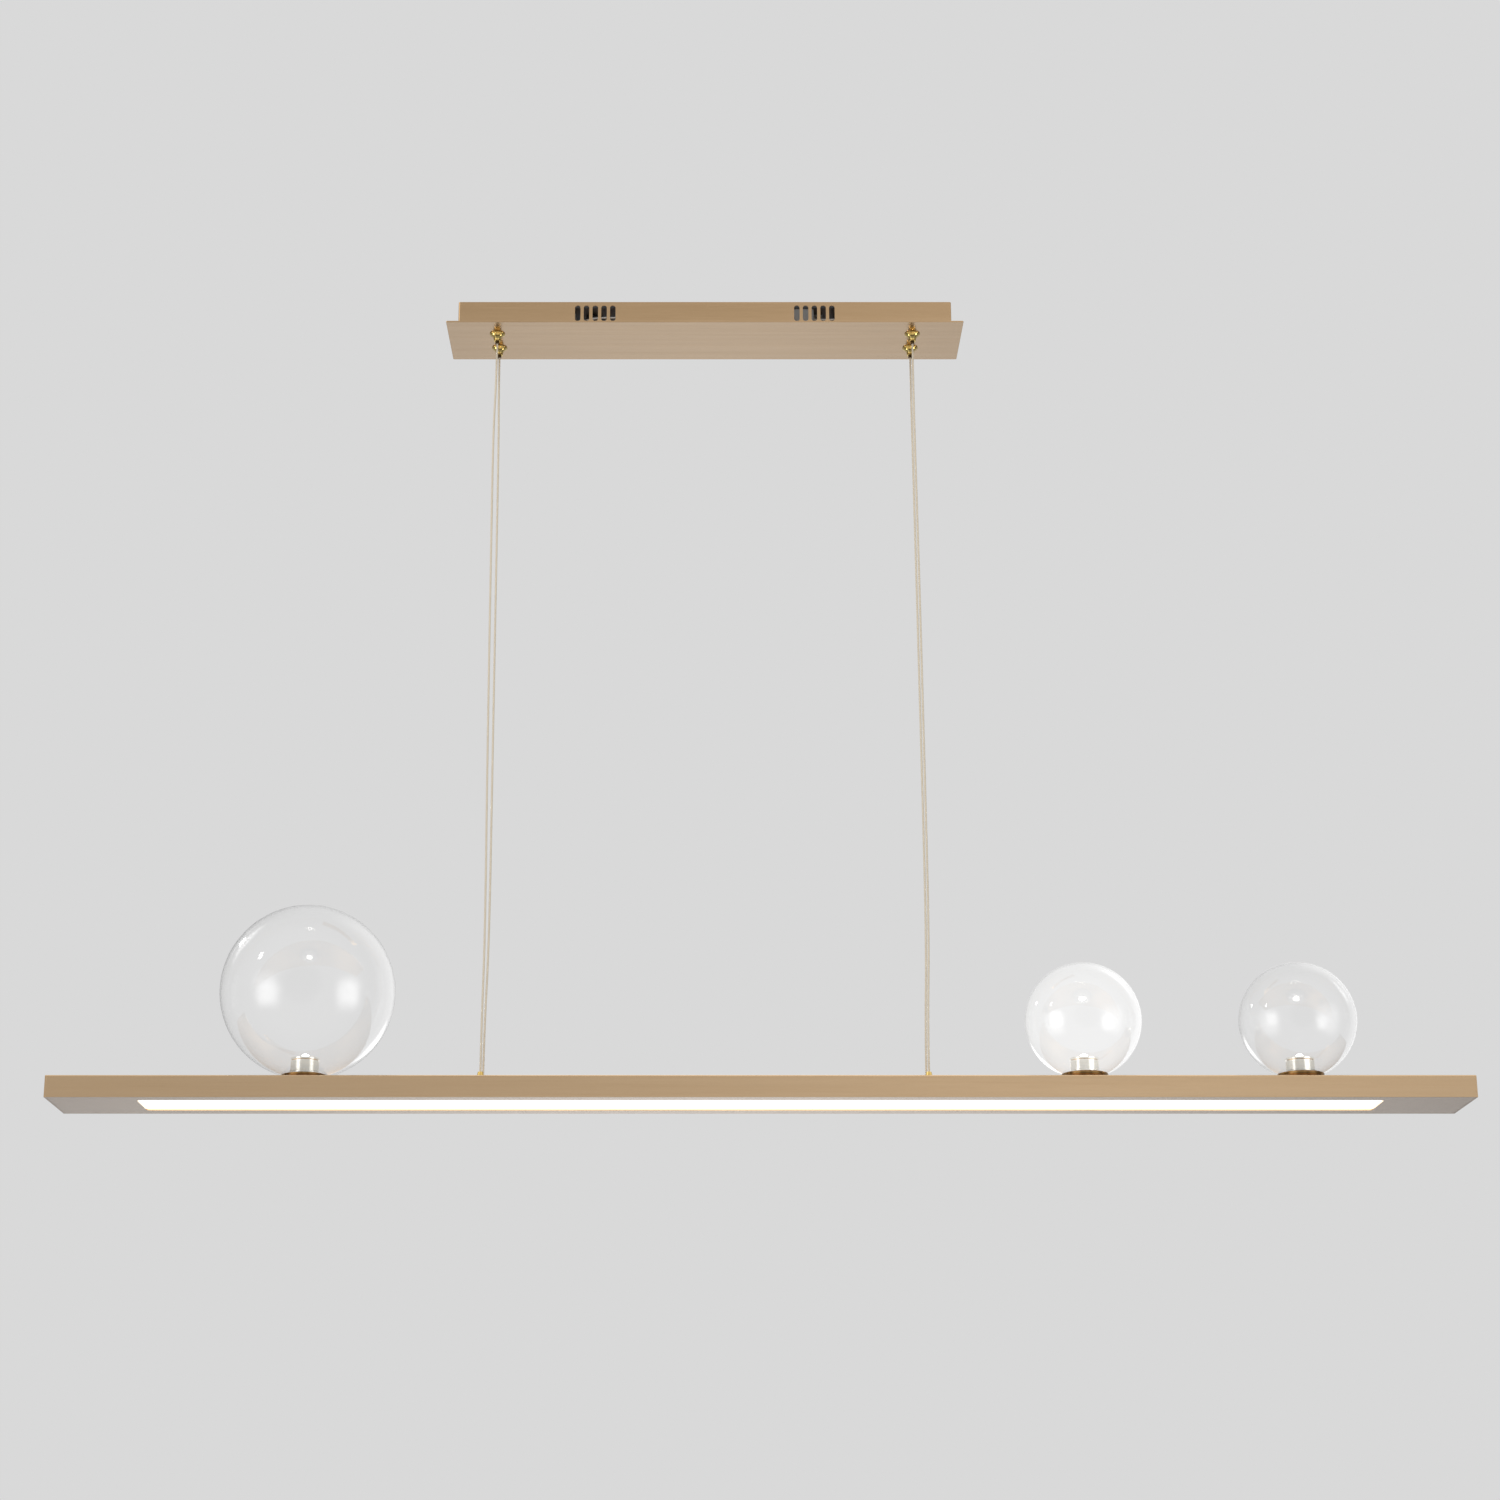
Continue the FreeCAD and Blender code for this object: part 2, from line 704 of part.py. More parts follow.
def sphere_under(radius, r):
    """Height of a globe's outside above the bar's top at a distance from its axis."""
    return glass_lift + radius - math.sqrt(radius ** 2 - r ** 2)


def gasket_levels(radius):
    """The underside and top of a globe's gasket above the bar's top."""
    high = sphere_under(radius, collar_bore) - seat_gap
    return high - gasket_thick, high


def globe_saucer(x, radius):
    """A turned dish: its rim follows the globe, and its stepped middle takes the gasket and the lamp cup."""
    hole = nipple_radius + running_gap
    well = cup_radius + running_gap
    groove = collar_bore + gasket_width + saucer_groove_slip
    groove_floor = gasket_levels(radius)[0] - slip_gap
    rim_in = saucer_radius - saucer_rim
    rim_mid = (groove + rim_in) / 2
    rim_top = sphere_under(radius, rim_in) - seat_gap
    groove_top = sphere_under(radius, groove) - seat_gap
    edges = [line((hole, 0), (saucer_foot_radius, 0)),
             arc((saucer_foot_radius, 0), (saucer_radius - saucer_belly, rim_top * saucer_belly_share),
                 (saucer_radius, rim_top - saucer_rim)),
             line((saucer_radius, rim_top - saucer_rim), (rim_in, rim_top)),
             arc((rim_in, rim_top), (rim_mid, sphere_under(radius, rim_mid) - seat_gap),
                 (groove, groove_top)),
             line((groove, groove_top), (groove, groove_floor)),
             line((groove, groove_floor), (well, groove_floor)),
             line((well, groove_floor), (well, cup_seat)),
             line((well, cup_seat), (hole, cup_seat)),
             line((hole, cup_seat), (hole, 0))]
    shape = turned(edges, x)
    shape.translate(vec(0, 0, bar_top))
    return shape


def globe_cup(x):
    """The plated lamp cup that the glass screws onto, with a ledge inside for the lamp's metal core."""
    hole = nipple_radius + running_gap
    low = bar_top + cup_seat
    high = low + cup_height
    floor = low + cup_floor
    bore = cup_radius - cup_wall
    ledge = high - lamp_core_below_rim - lamp_core_thick
    return turned_polygon([(hole, low), (cup_radius - cup_edge, low), (cup_radius, low + cup_edge),
                           (cup_radius, high - cup_edge), (cup_radius - cup_edge, high), (bore, high),
                           (bore, ledge), (bore - cup_ledge, ledge), (bore - cup_ledge, floor),
                           (hole, floor)], x)


def globe_lamp(x):
    """The aluminium core of the lamp, resting on the cup's ledge, with a notch for its leads."""
    high = bar_top + cup_seat + cup_height - lamp_core_below_rim
    low = high - lamp_core_thick
    radius = cup_radius - cup_wall - running_gap
    notch = block(x - lamp_notch / 2, x + lamp_notch / 2, radius - lamp_notch, radius, low, high)
    return one_solid(rod(radius, low, high, x).cut(notch))


def globe_lens(x):
    """The moulded dome lens over the light-emitting chip."""
    low = bar_top + cup_seat + cup_height - lamp_core_below_rim
    centre = low + lens_skirt
    diagonal = lens_radius / math.sqrt(2)
    edges = [line((0, low), (lens_radius, low)),
             line((lens_radius, low), (lens_radius, centre)),
             arc((lens_radius, centre), (diagonal, centre + diagonal), (0, centre + lens_radius)),
             line((0, centre + lens_radius), (0, low))]
    return turned(edges, x)


def globe_nipple(x):
    """The hollow threaded tube that clamps cup and saucer to the bar and carries the lamp's leads."""
    low = bar_top - bar_wall - nut_m8[1] - nipple_past_nut
    high = bar_top + cup_seat + cup_floor + nut_m8[1] + nipple_past_nut
    return ring(nipple_radius, nipple_bore, low, high, x)


def cup_nuts():
    """The nuts on the nipples' upper ends, inside the lamp cups."""
    low = bar_top + cup_seat + cup_floor
    return Part.makeCompound([hex_nut(nut_m8, low, nipple_radius + running_gap, bar_offset_x + along)
                              for _, along, _ in globes])


def globe_gasket(x, radius):
    """The soft ring under the glass, which turns with it."""
    low, high = gasket_levels(radius)
    return ring(collar_bore + gasket_width, collar_bore, bar_top + low, bar_top + high, x)


def globe_glass(x, radius):
    """A blown hollow sphere whose mouth is turned inwards as the screw collar."""
    centre = glass_lift + radius
    inner_radius = radius - glass_wall
    collar_out = collar_bore + collar_wall
    mouth = sphere_under(radius, collar_bore)
    collar_top = mouth + collar_height
    meet = centre - math.sqrt(inner_radius ** 2 - collar_out ** 2)
    edges = [arc((collar_bore, mouth), (radius, centre), (0, centre + radius)),
             line((0, centre + radius), (0, centre + inner_radius)),
             arc((0, centre + inner_radius), (inner_radius, centre), (collar_out, meet)),
             line((collar_out, meet), (collar_out, collar_top)),
             line((collar_out, collar_top), (collar_bore, collar_top)),
             line((collar_bore, collar_top), (collar_bore, mouth))]
    shape = turned(edges, x)
    shape.translate(vec(0, 0, bar_top))
    return shape


def pieces():
    """Every piece's name with its shape."""
    made = {
        "ceiling_bracket": ceiling_bracket(),
        "canopy_box": canopy_box(),
        "canopy_plate": canopy_plate(),
        "canopy_nuts": canopy_nuts(),
        "canopy_side_screws": canopy_side_screws(),
        "cable_grommet": cable_grommet(),
        "led_driver": led_driver(),
        "driver_screws": driver_screws(),
        "terminal_block": terminal_block(),
        "canopy_leads": canopy_leads(),
        "cable_crimps": cable_crimps(),
        "bar_housing": bar_housing(),
        "bar_end_cap_left": bar_end_cap(-1),
        "bar_end_cap_right": bar_end_cap(1),
        "bottom_cover": bottom_cover(),
        "diffuser": diffuser(),
        "led_tray": led_tray(),
        "led_strip": led_strip(),
        "cable_stops": cable_stops(),
        "bar_nuts": bar_nuts(),
        "bar_leads": bar_leads(),
        "cup_nuts": cup_nuts(),
    }
    for name, x, y in hang_points:
        made["gripper_body_" + name] = gripper_body(x, y)
        made["gripper_nib_" + name] = gripper_nib(x, y)
        made["cable_" + name] = suspension_cable(x, y)
        made["ferrule_" + name] = ferrule(x, y)
    for name, along, radius in globes:
        x = bar_offset_x + along
        made["saucer_" + name] = globe_saucer(x, radius)
        made["lamp_cup_" + name] = globe_cup(x)
        made["lamp_core_" + name] = globe_lamp(x)
        made["lamp_lens_" + name] = globe_lens(x)
        made["nipple_" + name] = globe_nipple(x)
        made["gasket_" + name] = globe_gasket(x, radius)
        made["globe_" + name] = globe_glass(x, radius)
    return made


os.makedirs("parts", exist_ok=True)
for node, shape in pieces().items():
    if not shape.isValid() or shape.Volume <= 0:
        raise ValueError(node + " is not a valid solid")
    shape.exportStep("parts/" + node + ".step")
    print(node, len(shape.Solids), round(shape.Volume, 1))
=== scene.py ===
import bmesh
import bpy
import math
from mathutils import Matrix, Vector


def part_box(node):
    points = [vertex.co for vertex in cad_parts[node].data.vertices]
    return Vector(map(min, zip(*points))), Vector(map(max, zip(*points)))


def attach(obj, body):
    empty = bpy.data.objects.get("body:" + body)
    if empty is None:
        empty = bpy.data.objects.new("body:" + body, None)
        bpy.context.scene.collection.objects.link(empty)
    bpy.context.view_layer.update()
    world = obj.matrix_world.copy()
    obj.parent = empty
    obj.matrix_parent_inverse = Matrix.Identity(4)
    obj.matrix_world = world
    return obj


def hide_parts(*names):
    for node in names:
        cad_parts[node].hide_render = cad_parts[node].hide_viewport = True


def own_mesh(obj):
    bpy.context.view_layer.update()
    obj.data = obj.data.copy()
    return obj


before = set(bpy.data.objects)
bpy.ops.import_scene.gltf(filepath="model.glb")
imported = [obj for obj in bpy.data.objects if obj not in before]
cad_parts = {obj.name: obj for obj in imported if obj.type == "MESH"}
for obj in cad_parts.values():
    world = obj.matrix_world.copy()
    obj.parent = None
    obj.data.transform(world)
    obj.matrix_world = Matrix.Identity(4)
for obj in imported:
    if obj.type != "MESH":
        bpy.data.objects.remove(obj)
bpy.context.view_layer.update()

scene = bpy.context.scene
scene.view_settings.view_transform = "Standard"
bpy.ops.object.select_all(action="DESELECT")

# Camera
# The photograph was taken from the front and below the bar, looking up at it
# with a long lens. The lens was shifted sideways, so the picture's middle is
# not on its axis.
photo_width = 1500.0
axis_pixel_x = 707.0
camera_tilt = math.radians(17.06)
camera_place = (0.002, -2.449, -1.1706)
lens_length = 69.75
sensor_width = 36.0
bpy.ops.object.camera_add(
    location=camera_place, rotation=(math.radians(90) + camera_tilt, 0, 0))
scene.camera = bpy.context.object
scene.camera.data.lens = lens_length
scene.camera.data.sensor_width = sensor_width
scene.camera.data.shift_x = (photo_width / 2 - axis_pixel_x) / photo_width

# Suspension cables
# Four thin steel cables, each laid up from six gold-coloured strands under a
# clear sleeve. Their crimps sit in the canopy and their stops in the bar, and
# the bar's weight draws them straight but for the set left by their coil.
hang_names = ("front_left", "front_right", "rear_left", "rear_right")
cable_levels = (-0.07, -0.12, -0.25, -0.44, -0.59, -0.67)
cable_bows = {
    # how far to the right each cable stands at those levels
    "front_left": (0.0, -0.0018, -0.0012, -0.0002, 0.0013, 0.0),
    "front_right": (0.0, 0.0001, 0.0013, 0.0023, 0.0028, 0.0),
    "rear_left": (0.0, 0.001, 0.0014, 0.0021, 0.0026, 0.0),
    "rear_right": (0.0, 0.0003, 0.0011, 0.0022, 0.0027, 0.0),
}
strand_count = 6
points_on_strand = 4
strand_groove = 0.16
lay_length = 0.011
line_steps = 300


class Wire:
    """A node's output. Arithmetic on outputs adds their Math nodes."""

    def __init__(self, socket):
        self.socket = socket

    def node(self, kind, settings, sockets, output=0):
        """A node beside this one: its settings first, then its sockets' values or links."""
        tree = self.socket.id_data
        made = tree.nodes.new(kind)
        for key, value in settings.items():
            if key == "stops":
                made.color_ramp.interpolation = "EASE"
                stops = made.color_ramp.elements
                for index, (where, colour) in enumerate(value):
                    stop = stops[index] if index < 2 else stops.new(where)
                    stop.position = where
                    stop.color = colour + (1.0,)
            else:
                setattr(made, key, value)
        for key, value in sockets.items():
            if isinstance(value, Wire):
                tree.links.new(value.socket, made.inputs[key])
            else:
                made.inputs[key].default_value = value
        return Wire(made.outputs[output])

    def maths(self, operation, first, second):
        return self.node("ShaderNodeMath", {"operation": operation}, {0: first, 1: second})

    def __add__(self, other):
        return self.maths("ADD", self, other)

    __radd__ = __add__

    def __sub__(self, other):
        return self.maths("SUBTRACT", self, other)

    def __rsub__(self, other):
        return self.maths("SUBTRACT", other, self)

    def __mul__(self, other):
        return self.maths("MULTIPLY", self, other)

    __rmul__ = __mul__

    def blend(self, low, high):
        """A colour between two others, by this value."""
        sockets = {0: self}
        for key, colour in ((6, low), (7, high)):
            sockets[key] = colour if isinstance(colour, Wire) else colour + (1.0,)
        return self.node("ShaderNodeMix", {"data_type": "RGBA"}, sockets, 2)

    def noise(self, stretch, detail=2.0):
        """Noise whose grains per metre are given for each direction."""
        laid = self.node("ShaderNodeMapping", {}, {"Vector": self, "Scale": stretch})
        return self.node("ShaderNodeTexNoise", {}, {"Vector": laid, "Scale": 1.0, "Detail": detail})

    def relief(self, strength, depth):
        """A surface normal that this height shapes."""
        return self.node("ShaderNodeBump", {}, {
            "Strength": strength, "Distance": depth, "Height": self})

    def feed(self, node, name):
        self.socket.id_data.links.new(self.socket, node.inputs[name])


def new_finish(name, levels):
    """A material with its constant levels set, then its surface and object coordinates."""
    material = bpy.data.materials.new(name)
    material.use_nodes = True
    surface = material.node_tree.nodes["Principled BSDF"]
    for socket, level in levels.items():
        surface.inputs[socket].default_value = level
    place = Wire(surface.outputs[0]).node("ShaderNodeTexCoord", {}, {}, "Object")
    return material, surface, place


def corners_of(node):
    """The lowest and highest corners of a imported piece."""
    return tuple(Vector(corner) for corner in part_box(node))


cable_finish, surface, place = new_finish("coated_cable", {
    "Metallic": 0.3, "Roughness": 0.34,
    "Coat Weight": 0.7, "Coat Roughness": 0.12, "Coat IOR": 1.5})
around = place.node("ShaderNodeUVMap", {"uv_map": "strands"}, {})
across = place.node("ShaderNodeSeparateXYZ", {}, {0: around}, 0)
# painted light and shade across each strand: darker on its crest, lighter in the grooves between
# strands
strand_light_and_shade = across.maths("PINGPONG", across * strand_count, 0.5)
wear = place.noise((900.0, 900.0, 60.0))
(strand_light_and_shade * 1.4 + wear * 0.3).blend((0.74, 0.61, 0.44), (1.0, 0.92, 0.76)).feed(surface, "Base Color")
(0.26 + wear * 0.16).feed(surface, "Roughness")

for name in hang_names:
    low, high = corners_of("cable_" + name)
    middle = (low + high) / 2
    radius = (high.x - low.x) / 2
    route = [Vector((middle.x, middle.y, high.z))]
    for lean, level in zip(cable_bows[name], cable_levels):
        route.append(Vector((middle.x + lean, middle.y, level)))
    route.append(Vector((middle.x, middle.y, low.z)))
    curve = bpy.data.curves.new("cable_line", "CURVE")
    curve.dimensions = "3D"
    spline = curve.splines.new("NURBS")
    spline.points.add(len(route) - 1)
    for point, spot in zip(spline.points, route):
        point.co = (*spot, 1.0)
    spline.order_u = 3
    spline.use_endpoint_u = True
    spline.resolution_u = line_steps
    guide = bpy.data.objects.new("cable_line", curve)
    scene.collection.objects.link(guide)
    bpy.context.view_layer.update()
    line = [vertex.co.copy() for vertex in bpy.data.meshes.new_from_object(guide).vertices]
    bpy.data.objects.remove(guide)

    rim = strand_count * points_on_strand
    walked = 0.0
    corners = []
    runs = []
    for index, spot in enumerate(line):
        if index:
            walked += (spot - line[index - 1]).length
        runs.append(walked)
        twist = math.tau * walked / lay_length
        for k in range(rim):
            crest = 1 - strand_groove * (0.5 - 0.5 * math.cos(math.tau * k / points_on_strand))
            angle = twist + math.tau * k / rim
            corners.append(spot + Vector((math.cos(angle), math.sin(angle), 0)) * radius * crest)
    faces = []
    for index in range(len(line) - 1):
        for k in range(rim):
            here = index * rim
            after = (k + 1) % rim
            faces.append((here + k, here + rim + k, here + rim + after, here + after))
    faces.append(tuple(range(rim)))
    faces.append(tuple(reversed(range(len(corners) - rim, len(corners)))))
    mesh = bpy.data.meshes.new("laid_cable_" + name)
    mesh.from_pydata(corners, [], faces)
    layer = mesh.uv_layers.new(name="strands")
    for face in mesh.polygons:
        for loop in face.loop_indices:
            vertex = mesh.loops[loop].vertex_index
            turn = vertex % rim
            seam = 1.0 if face.index % rim == rim - 1 and turn == 0 else 0.0
            layer.data[loop].uv = (turn / rim + seam, runs[vertex // rim])
        face.use_smooth = len(face.vertices) == 4
    mesh.validate()
    cable = bpy.data.objects.new("laid_cable_" + name, mesh)
    scene.collection.objects.link(cable)
    cable.data.materials.append(cable_finish)
    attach(cable, "canopy")
    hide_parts("cable_" + name)
    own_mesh(cable)

# Canopy
# A folded box with louvres of upright slots, closed below by a wider flat
# plate. Both are steel, brushed along their length and plated in a pale satin
# brass. The plate has small rounded corners and holes for the cable grippers.
canopy_bend = 0.0018
canopy_wall = 0.0012
canopy_flange = 0.008
plate_corner = 0.001
sheet_edge = 0.00018
gripper_hole_radius = 0.0041
vent_radius = 0.0025
vent_half_length = 0.00775
vent_middle_z = -0.01125
vent_pitch = 0.008
vent_count = 5
vent_group_x = 0.1
vent_sides = 32
side_hole_radius = 0.0023
side_hole_z = -0.008
drill_reach = 0.01
round_sides = 48
squarely = 0.9  # how nearly along an axis a face or an edge has to point
sharp_angle = math.radians(40)
smooth_angle = math.radians(32)
brass_dark = (0.56, 0.385, 0.22)
brass_light = (0.74, 0.535, 0.335)
scratches_along, scratches_across = 14.0, 2600.0
bands_along, bands_across = 2.5, 110.0


def brushed_brass(name, axis):
    """Satin brass plating over sheet that was brushed along x, 0, or y, 1."""
    material, surface, place = new_finish(name, {"Metallic": 1.0, "Roughness": 0.3})
    scratches, bands = [scratches_across] * 3, [bands_across] * 3
    scratches[axis], bands[axis] = scratches_along, bands_along
    fine = place.noise(scratches, 3.0)
    broad = place.noise([step * 0.03 for step in scratches])
    band = place.noise(bands)
    tone = (fine * 0.45 + broad * 0.2 + band * 0.35).blend(brass_dark, brass_light)
    tone.feed(surface, "Base Color")
    (0.12 + fine * 0.1 + broad * 0.05).feed(surface, "Roughness")
    (fine + band * 4).relief(0.5, 0.0001).feed(surface, "Normal")
    return material


def select_only(piece):
    bpy.ops.object.select_all(action="DESELECT")
    piece.select_set(True)
    bpy.context.view_layer.objects.active = piece


def slab(low, high):
    """A block between two corners, with its origin at the frame's."""
    bpy.ops.mesh.primitive_cube_add(size=1, location=(low + high) / 2)
    piece = bpy.context.object
    piece.scale = high - low
    bpy.ops.object.transform_apply(location=True, scale=True)
    return piece


def pick(piece, kind, test):
    """In edit mode, selects only the faces or edges whose middle and direction pass the test."""
    bpy.ops.mesh.select_mode(type="FACE" if kind == "faces" else "EDGE")
    bpy.ops.mesh.select_all(action="DESELECT")
    shape = bmesh.from_edit_mesh(piece.data)
    for element in getattr(shape, kind):
        if kind == "faces":
            chosen = test(element.calc_center_median(), element.normal)
        else:
            a, b = (vertex.co for vertex in element.verts)
            chosen = test((a + b) / 2, (b - a).normalized())
        element.select_set(chosen)
    bmesh.update_edit_mesh(piece.data)


def upright(middle, way):
    return abs(way.z) > squarely


def cut(piece, cutter):
    """Takes the cutter's shape out of the piece."""
    hole = piece.modifiers.new("hole", "BOOLEAN")
    hole.operation = "DIFFERENCE"
    hole.solver = "EXACT"
    hole.object = cutter
    select_only(piece)
    bpy.ops.object.modifier_apply(modifier=hole.name)
    bpy.data.objects.remove(cutter)


def drill(piece, spot, radius, depth, turn=(0.0, 0.0, 0.0)):
    """Drills a round hole with its middle at the spot."""
    bpy.ops.mesh.primitive_cylinder_add(
        vertices=round_sides, radius=radius, depth=depth, location=spot, rotation=turn)
    cut(piece, bpy.context.object)


def soften(piece, width, segments=2):
    """Breaks the piece's sharp edges."""
    edge = piece.modifiers.new("edge", "BEVEL")
    edge.width = width
    edge.segments = segments
    edge.limit_method = "ANGLE"
    edge.angle_limit = sharp_angle


def settle(piece, name, body, material, slot, *nodes):
    """Applies what shapes the piece, then gives it its name, finish and body."""
    select_only(piece)
    for modifier in list(piece.modifiers):
        bpy.ops.object.modifier_apply(modifier=modifier.name)
    bpy.ops.object.transform_apply(location=True, rotation=True, scale=True)
    bpy.ops.object.shade_smooth_by_angle(angle=smooth_angle)
    flat = piece.modifiers.new("flat", "WEIGHTED_NORMAL")
    flat.keep_sharp = True
    bpy.ops.object.modifier_apply(modifier=flat.name)
    piece.name = name
    piece.data.materials.clear()
    piece.data.materials.append(material)
    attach(piece, body)
    if nodes:
        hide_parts(*nodes)


def middle_of(node):
    low, high = corners_of(node)
    return (low + high) / 2


sheet_brass = brushed_brass("brushed_brass_sheet", 0)
box_low, box_high = corners_of("canopy_box")
plate_low, plate_high = corners_of("canopy_plate")
hang_spots = {name: middle_of("cable_" + name) for name in hang_names}

plate = slab(plate_low, Vector((plate_high.x, plate_high.y, box_low.z)))
bpy.ops.object.mode_set(mode="EDIT")
pick(plate, "edges", upright)
bpy.ops.mesh.bevel(offset=plate_corner, segments=4)
bpy.ops.object.mode_set(mode="OBJECT")
for name in hang_names:
    spot = (hang_spots[name].x, hang_spots[name].y, box_low.z)
    drill(plate, spot, gripper_hole_radius, drill_reach)
soften(plate, sheet_edge)
settle(plate, "canopy_face_plate", "canopy", sheet_brass, "brushed_brass", "canopy_plate")

box = slab(box_low, box_high)
bpy.ops.object.mode_set(mode="EDIT")
pick(box, "edges", upright)
bpy.ops.mesh.bevel(offset=canopy_bend, segments=5)
pick(box, "faces", lambda middle, facing: facing.z > squarely)
bpy.ops.mesh.delete(type="FACE")
pick(box, "faces", lambda middle, facing: facing.z < -squarely)
bpy.ops.mesh.inset(thickness=canopy_flange)
bpy.ops.mesh.delete(type="FACE")
bpy.ops.object.mode_set(mode="OBJECT")
sheet = box.modifiers.new("sheet", "SOLIDIFY")
sheet.thickness = canopy_wall
sheet.offset = -1
bpy.ops.object.modifier_apply(modifier=sheet.name)
for side in (-1, 1):
    bpy.ops.mesh.primitive_cylinder_add(
        vertices=vent_sides, radius=vent_radius, depth=2 * (box_high.y - box_low.y),
        location=(0, 0, vent_middle_z), rotation=(math.radians(90), math.pi / vent_sides, 0))
    vents = bpy.context.object
    bpy.ops.object.transform_apply(location=True, rotation=True)
    for vertex in vents.data.vertices:
        stretch = vent_half_length - vent_radius
        vertex.co.z += stretch if vertex.co.z > vent_middle_z else -stretch
        vertex.co.x += side * vent_group_x - (vent_count - 1) / 2 * vent_pitch
    row = vents.modifiers.new("row", "ARRAY")
    row.count = vent_count
    row.use_relative_offset = False
    row.use_constant_offset = True
    row.constant_offset_displace = (vent_pitch, 0, 0)
    bpy.ops.object.modifier_apply(modifier=row.name)
    cut(box, vents)
    spot = (side * box_high.x, 0, side_hole_z)
    drill(box, spot, side_hole_radius, drill_reach, (0, math.radians(90), 0))
soften(box, sheet_edge / 2)
settle(box, "canopy_vented_box", "canopy", sheet_brass, "brushed_brass", "canopy_box")

# Canopy's steelwork
# A steel strap screwed to the ceiling carries everything and is coloured near-black.
# The nuts, the screws, the crimps on the cables and the other hidden fasteners
# are bright zinc plate, with its faint spangle and bluish tint.
zinc, surface, place = new_finish("zinc_plate", {"Metallic": 1.0, "Roughness": 0.3})
spangle = place.node(
    "ShaderNodeTexVoronoi", {"feature": "F1"}, {"Vector": place, "Scale": 420.0}, "Distance")
stain = place.noise((70.0, 70.0, 70.0))
tone = (spangle * 0.5 + stain * 0.6).blend((0.50, 0.52, 0.56), (0.70, 0.70, 0.69))
tone.feed(surface, "Base Color")
(0.2 + spangle * 0.18 + stain * 0.12).feed(surface, "Roughness")
stain.relief(0.08, 0.0002).feed(surface, "Normal")


def dress(material, *nodes):
    """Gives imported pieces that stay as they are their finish."""
    for node in nodes:
        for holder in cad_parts[node].material_slots:
            holder.material = material


dress(zinc, "canopy_nuts", "driver_screws", "cable_crimps", "cable_stops", "bar_nuts", "cup_nuts")

# a near-black colour for the strap, with a fine orange-peel grain
near_black_strap, surface, place = new_finish("near_black_strap_finish", {"Roughness": 0.45})
orange_peel = place.noise((900.0, 900.0, 900.0))
stain = place.noise((40.0, 70.0, 70.0))
tone = (orange_peel * 0.4 + stain * 0.5).blend((0.018, 0.018, 0.02), (0.055, 0.055, 0.058))
tone.feed(surface, "Base Color")
(0.3 + orange_peel * 0.25).feed(surface, "Roughness")
orange_peel.relief(0.15, 0.0001).feed(surface, "Normal")
dress(near_black_strap, "ceiling_bracket")

# Side screws
# A thin-headed screw with a cross recess goes through each end wall of the
# canopy into the bracket. It is plated to match the brass around it.
screw_head_radius = 0.004
screw_head_height = 0.001
screw_crown = 0.00055
screw_shank_radius = 0.002
screw_length = 0.007
recess_length = 0.0042
recess_width = 0.0009
recess_depth = 0.0006
bright_brass, surface, place = new_finish("polished_brass", {"Metallic": 1.0, "Roughness": 0.1})
smear = place.noise((160.0, 160.0, 160.0), 4.0)
polish = place.noise((2400.0, 2400.0, 500.0))
tone = (smear * 0.7 + polish * 0.3).blend((0.70, 0.47, 0.13), (0.90, 0.68, 0.26))
tone.feed(surface, "Base Color")
(0.03 + smear * 0.07).feed(surface, "Roughness")
polish.relief(0.03, 0.0001).feed(surface, "Normal")
screws = []
for side in (-1, 1):
    bpy.ops.mesh.primitive_cylinder_add(
        vertices=round_sides, radius=screw_head_radius, depth=screw_head_height,
        location=(side * (box_high.x + screw_head_height / 2), 0, side_hole_z),
        rotation=(0, side * math.radians(90), 0))
    head = bpy.context.object
    bpy.ops.object.transform_apply(location=True, rotation=True)
    bpy.ops.object.mode_set(mode="EDIT")
    pick(head, "faces", lambda middle, facing: facing.x * side < -squarely)
    bpy.ops.mesh.inset(thickness=screw_head_radius - screw_shank_radius)
    bpy.ops.mesh.extrude_region_move(TRANSFORM_OT_translate={"value": (-side * screw_length, 0, 0)})
    pick(head, "faces", lambda middle, facing: facing.x * side > squarely)
    bpy.ops.mesh.bevel(offset=screw_crown, segments=3)
    bpy.ops.object.mode_set(mode="OBJECT")
    outer = side * (box_high.x + screw_head_height)
    for long_y, long_z in ((recess_length, recess_width), (recess_width, recess_length)):
        half = Vector((recess_depth, long_y / 2, long_z / 2))
        mouth = Vector((outer, 0, side_hole_z))
        cut(head, slab(mouth - half, mouth + half))
    screws.append(head)
select_only(screws[0])
screws[1].select_set(True)
bpy.ops.object.join()
settle(screws[0], "cross_head_side_screws", "canopy", bright_brass, "polished_brass",
       "canopy_side_screws")

# Power supply
# The driver is a grey moulded case, finely grained. The supply cable comes in
# through a black rubber grommet to a white nylon terminal block, and white
# insulated leads go on to the driver and to the two live cables.
case_grey, surface, place = new_finish("driver_case", {
    "Roughness": 0.55, "Specular IOR Level": 0.4})
spark = place.noise((3200.0, 3200.0, 3200.0), 3.0)
flow = place.noise((30.0, 60.0, 60.0))
tone = (spark * 0.4 + flow * 0.6).blend((0.27, 0.28, 0.285), (0.42, 0.43, 0.435))
tone.feed(surface, "Base Color")
(0.42 + spark * 0.25).feed(surface, "Roughness")
spark.relief(0.3, 0.0001).feed(surface, "Normal")
dress(case_grey, "led_driver")

nylon, surface, place = new_finish("terminal_nylon", {"Roughness": 0.45, "Subsurface Weight": 0.1})
flow = place.noise((90.0, 90.0, 90.0))
grain = place.noise((2200.0, 2200.0, 2200.0))
flow.blend((0.76, 0.75, 0.71), (0.86, 0.86, 0.84)).feed(surface, "Base Color")
(0.35 + grain * 0.2).feed(surface, "Roughness")
grain.relief(0.1, 0.0001).feed(surface, "Normal")
dress(nylon, "terminal_block")

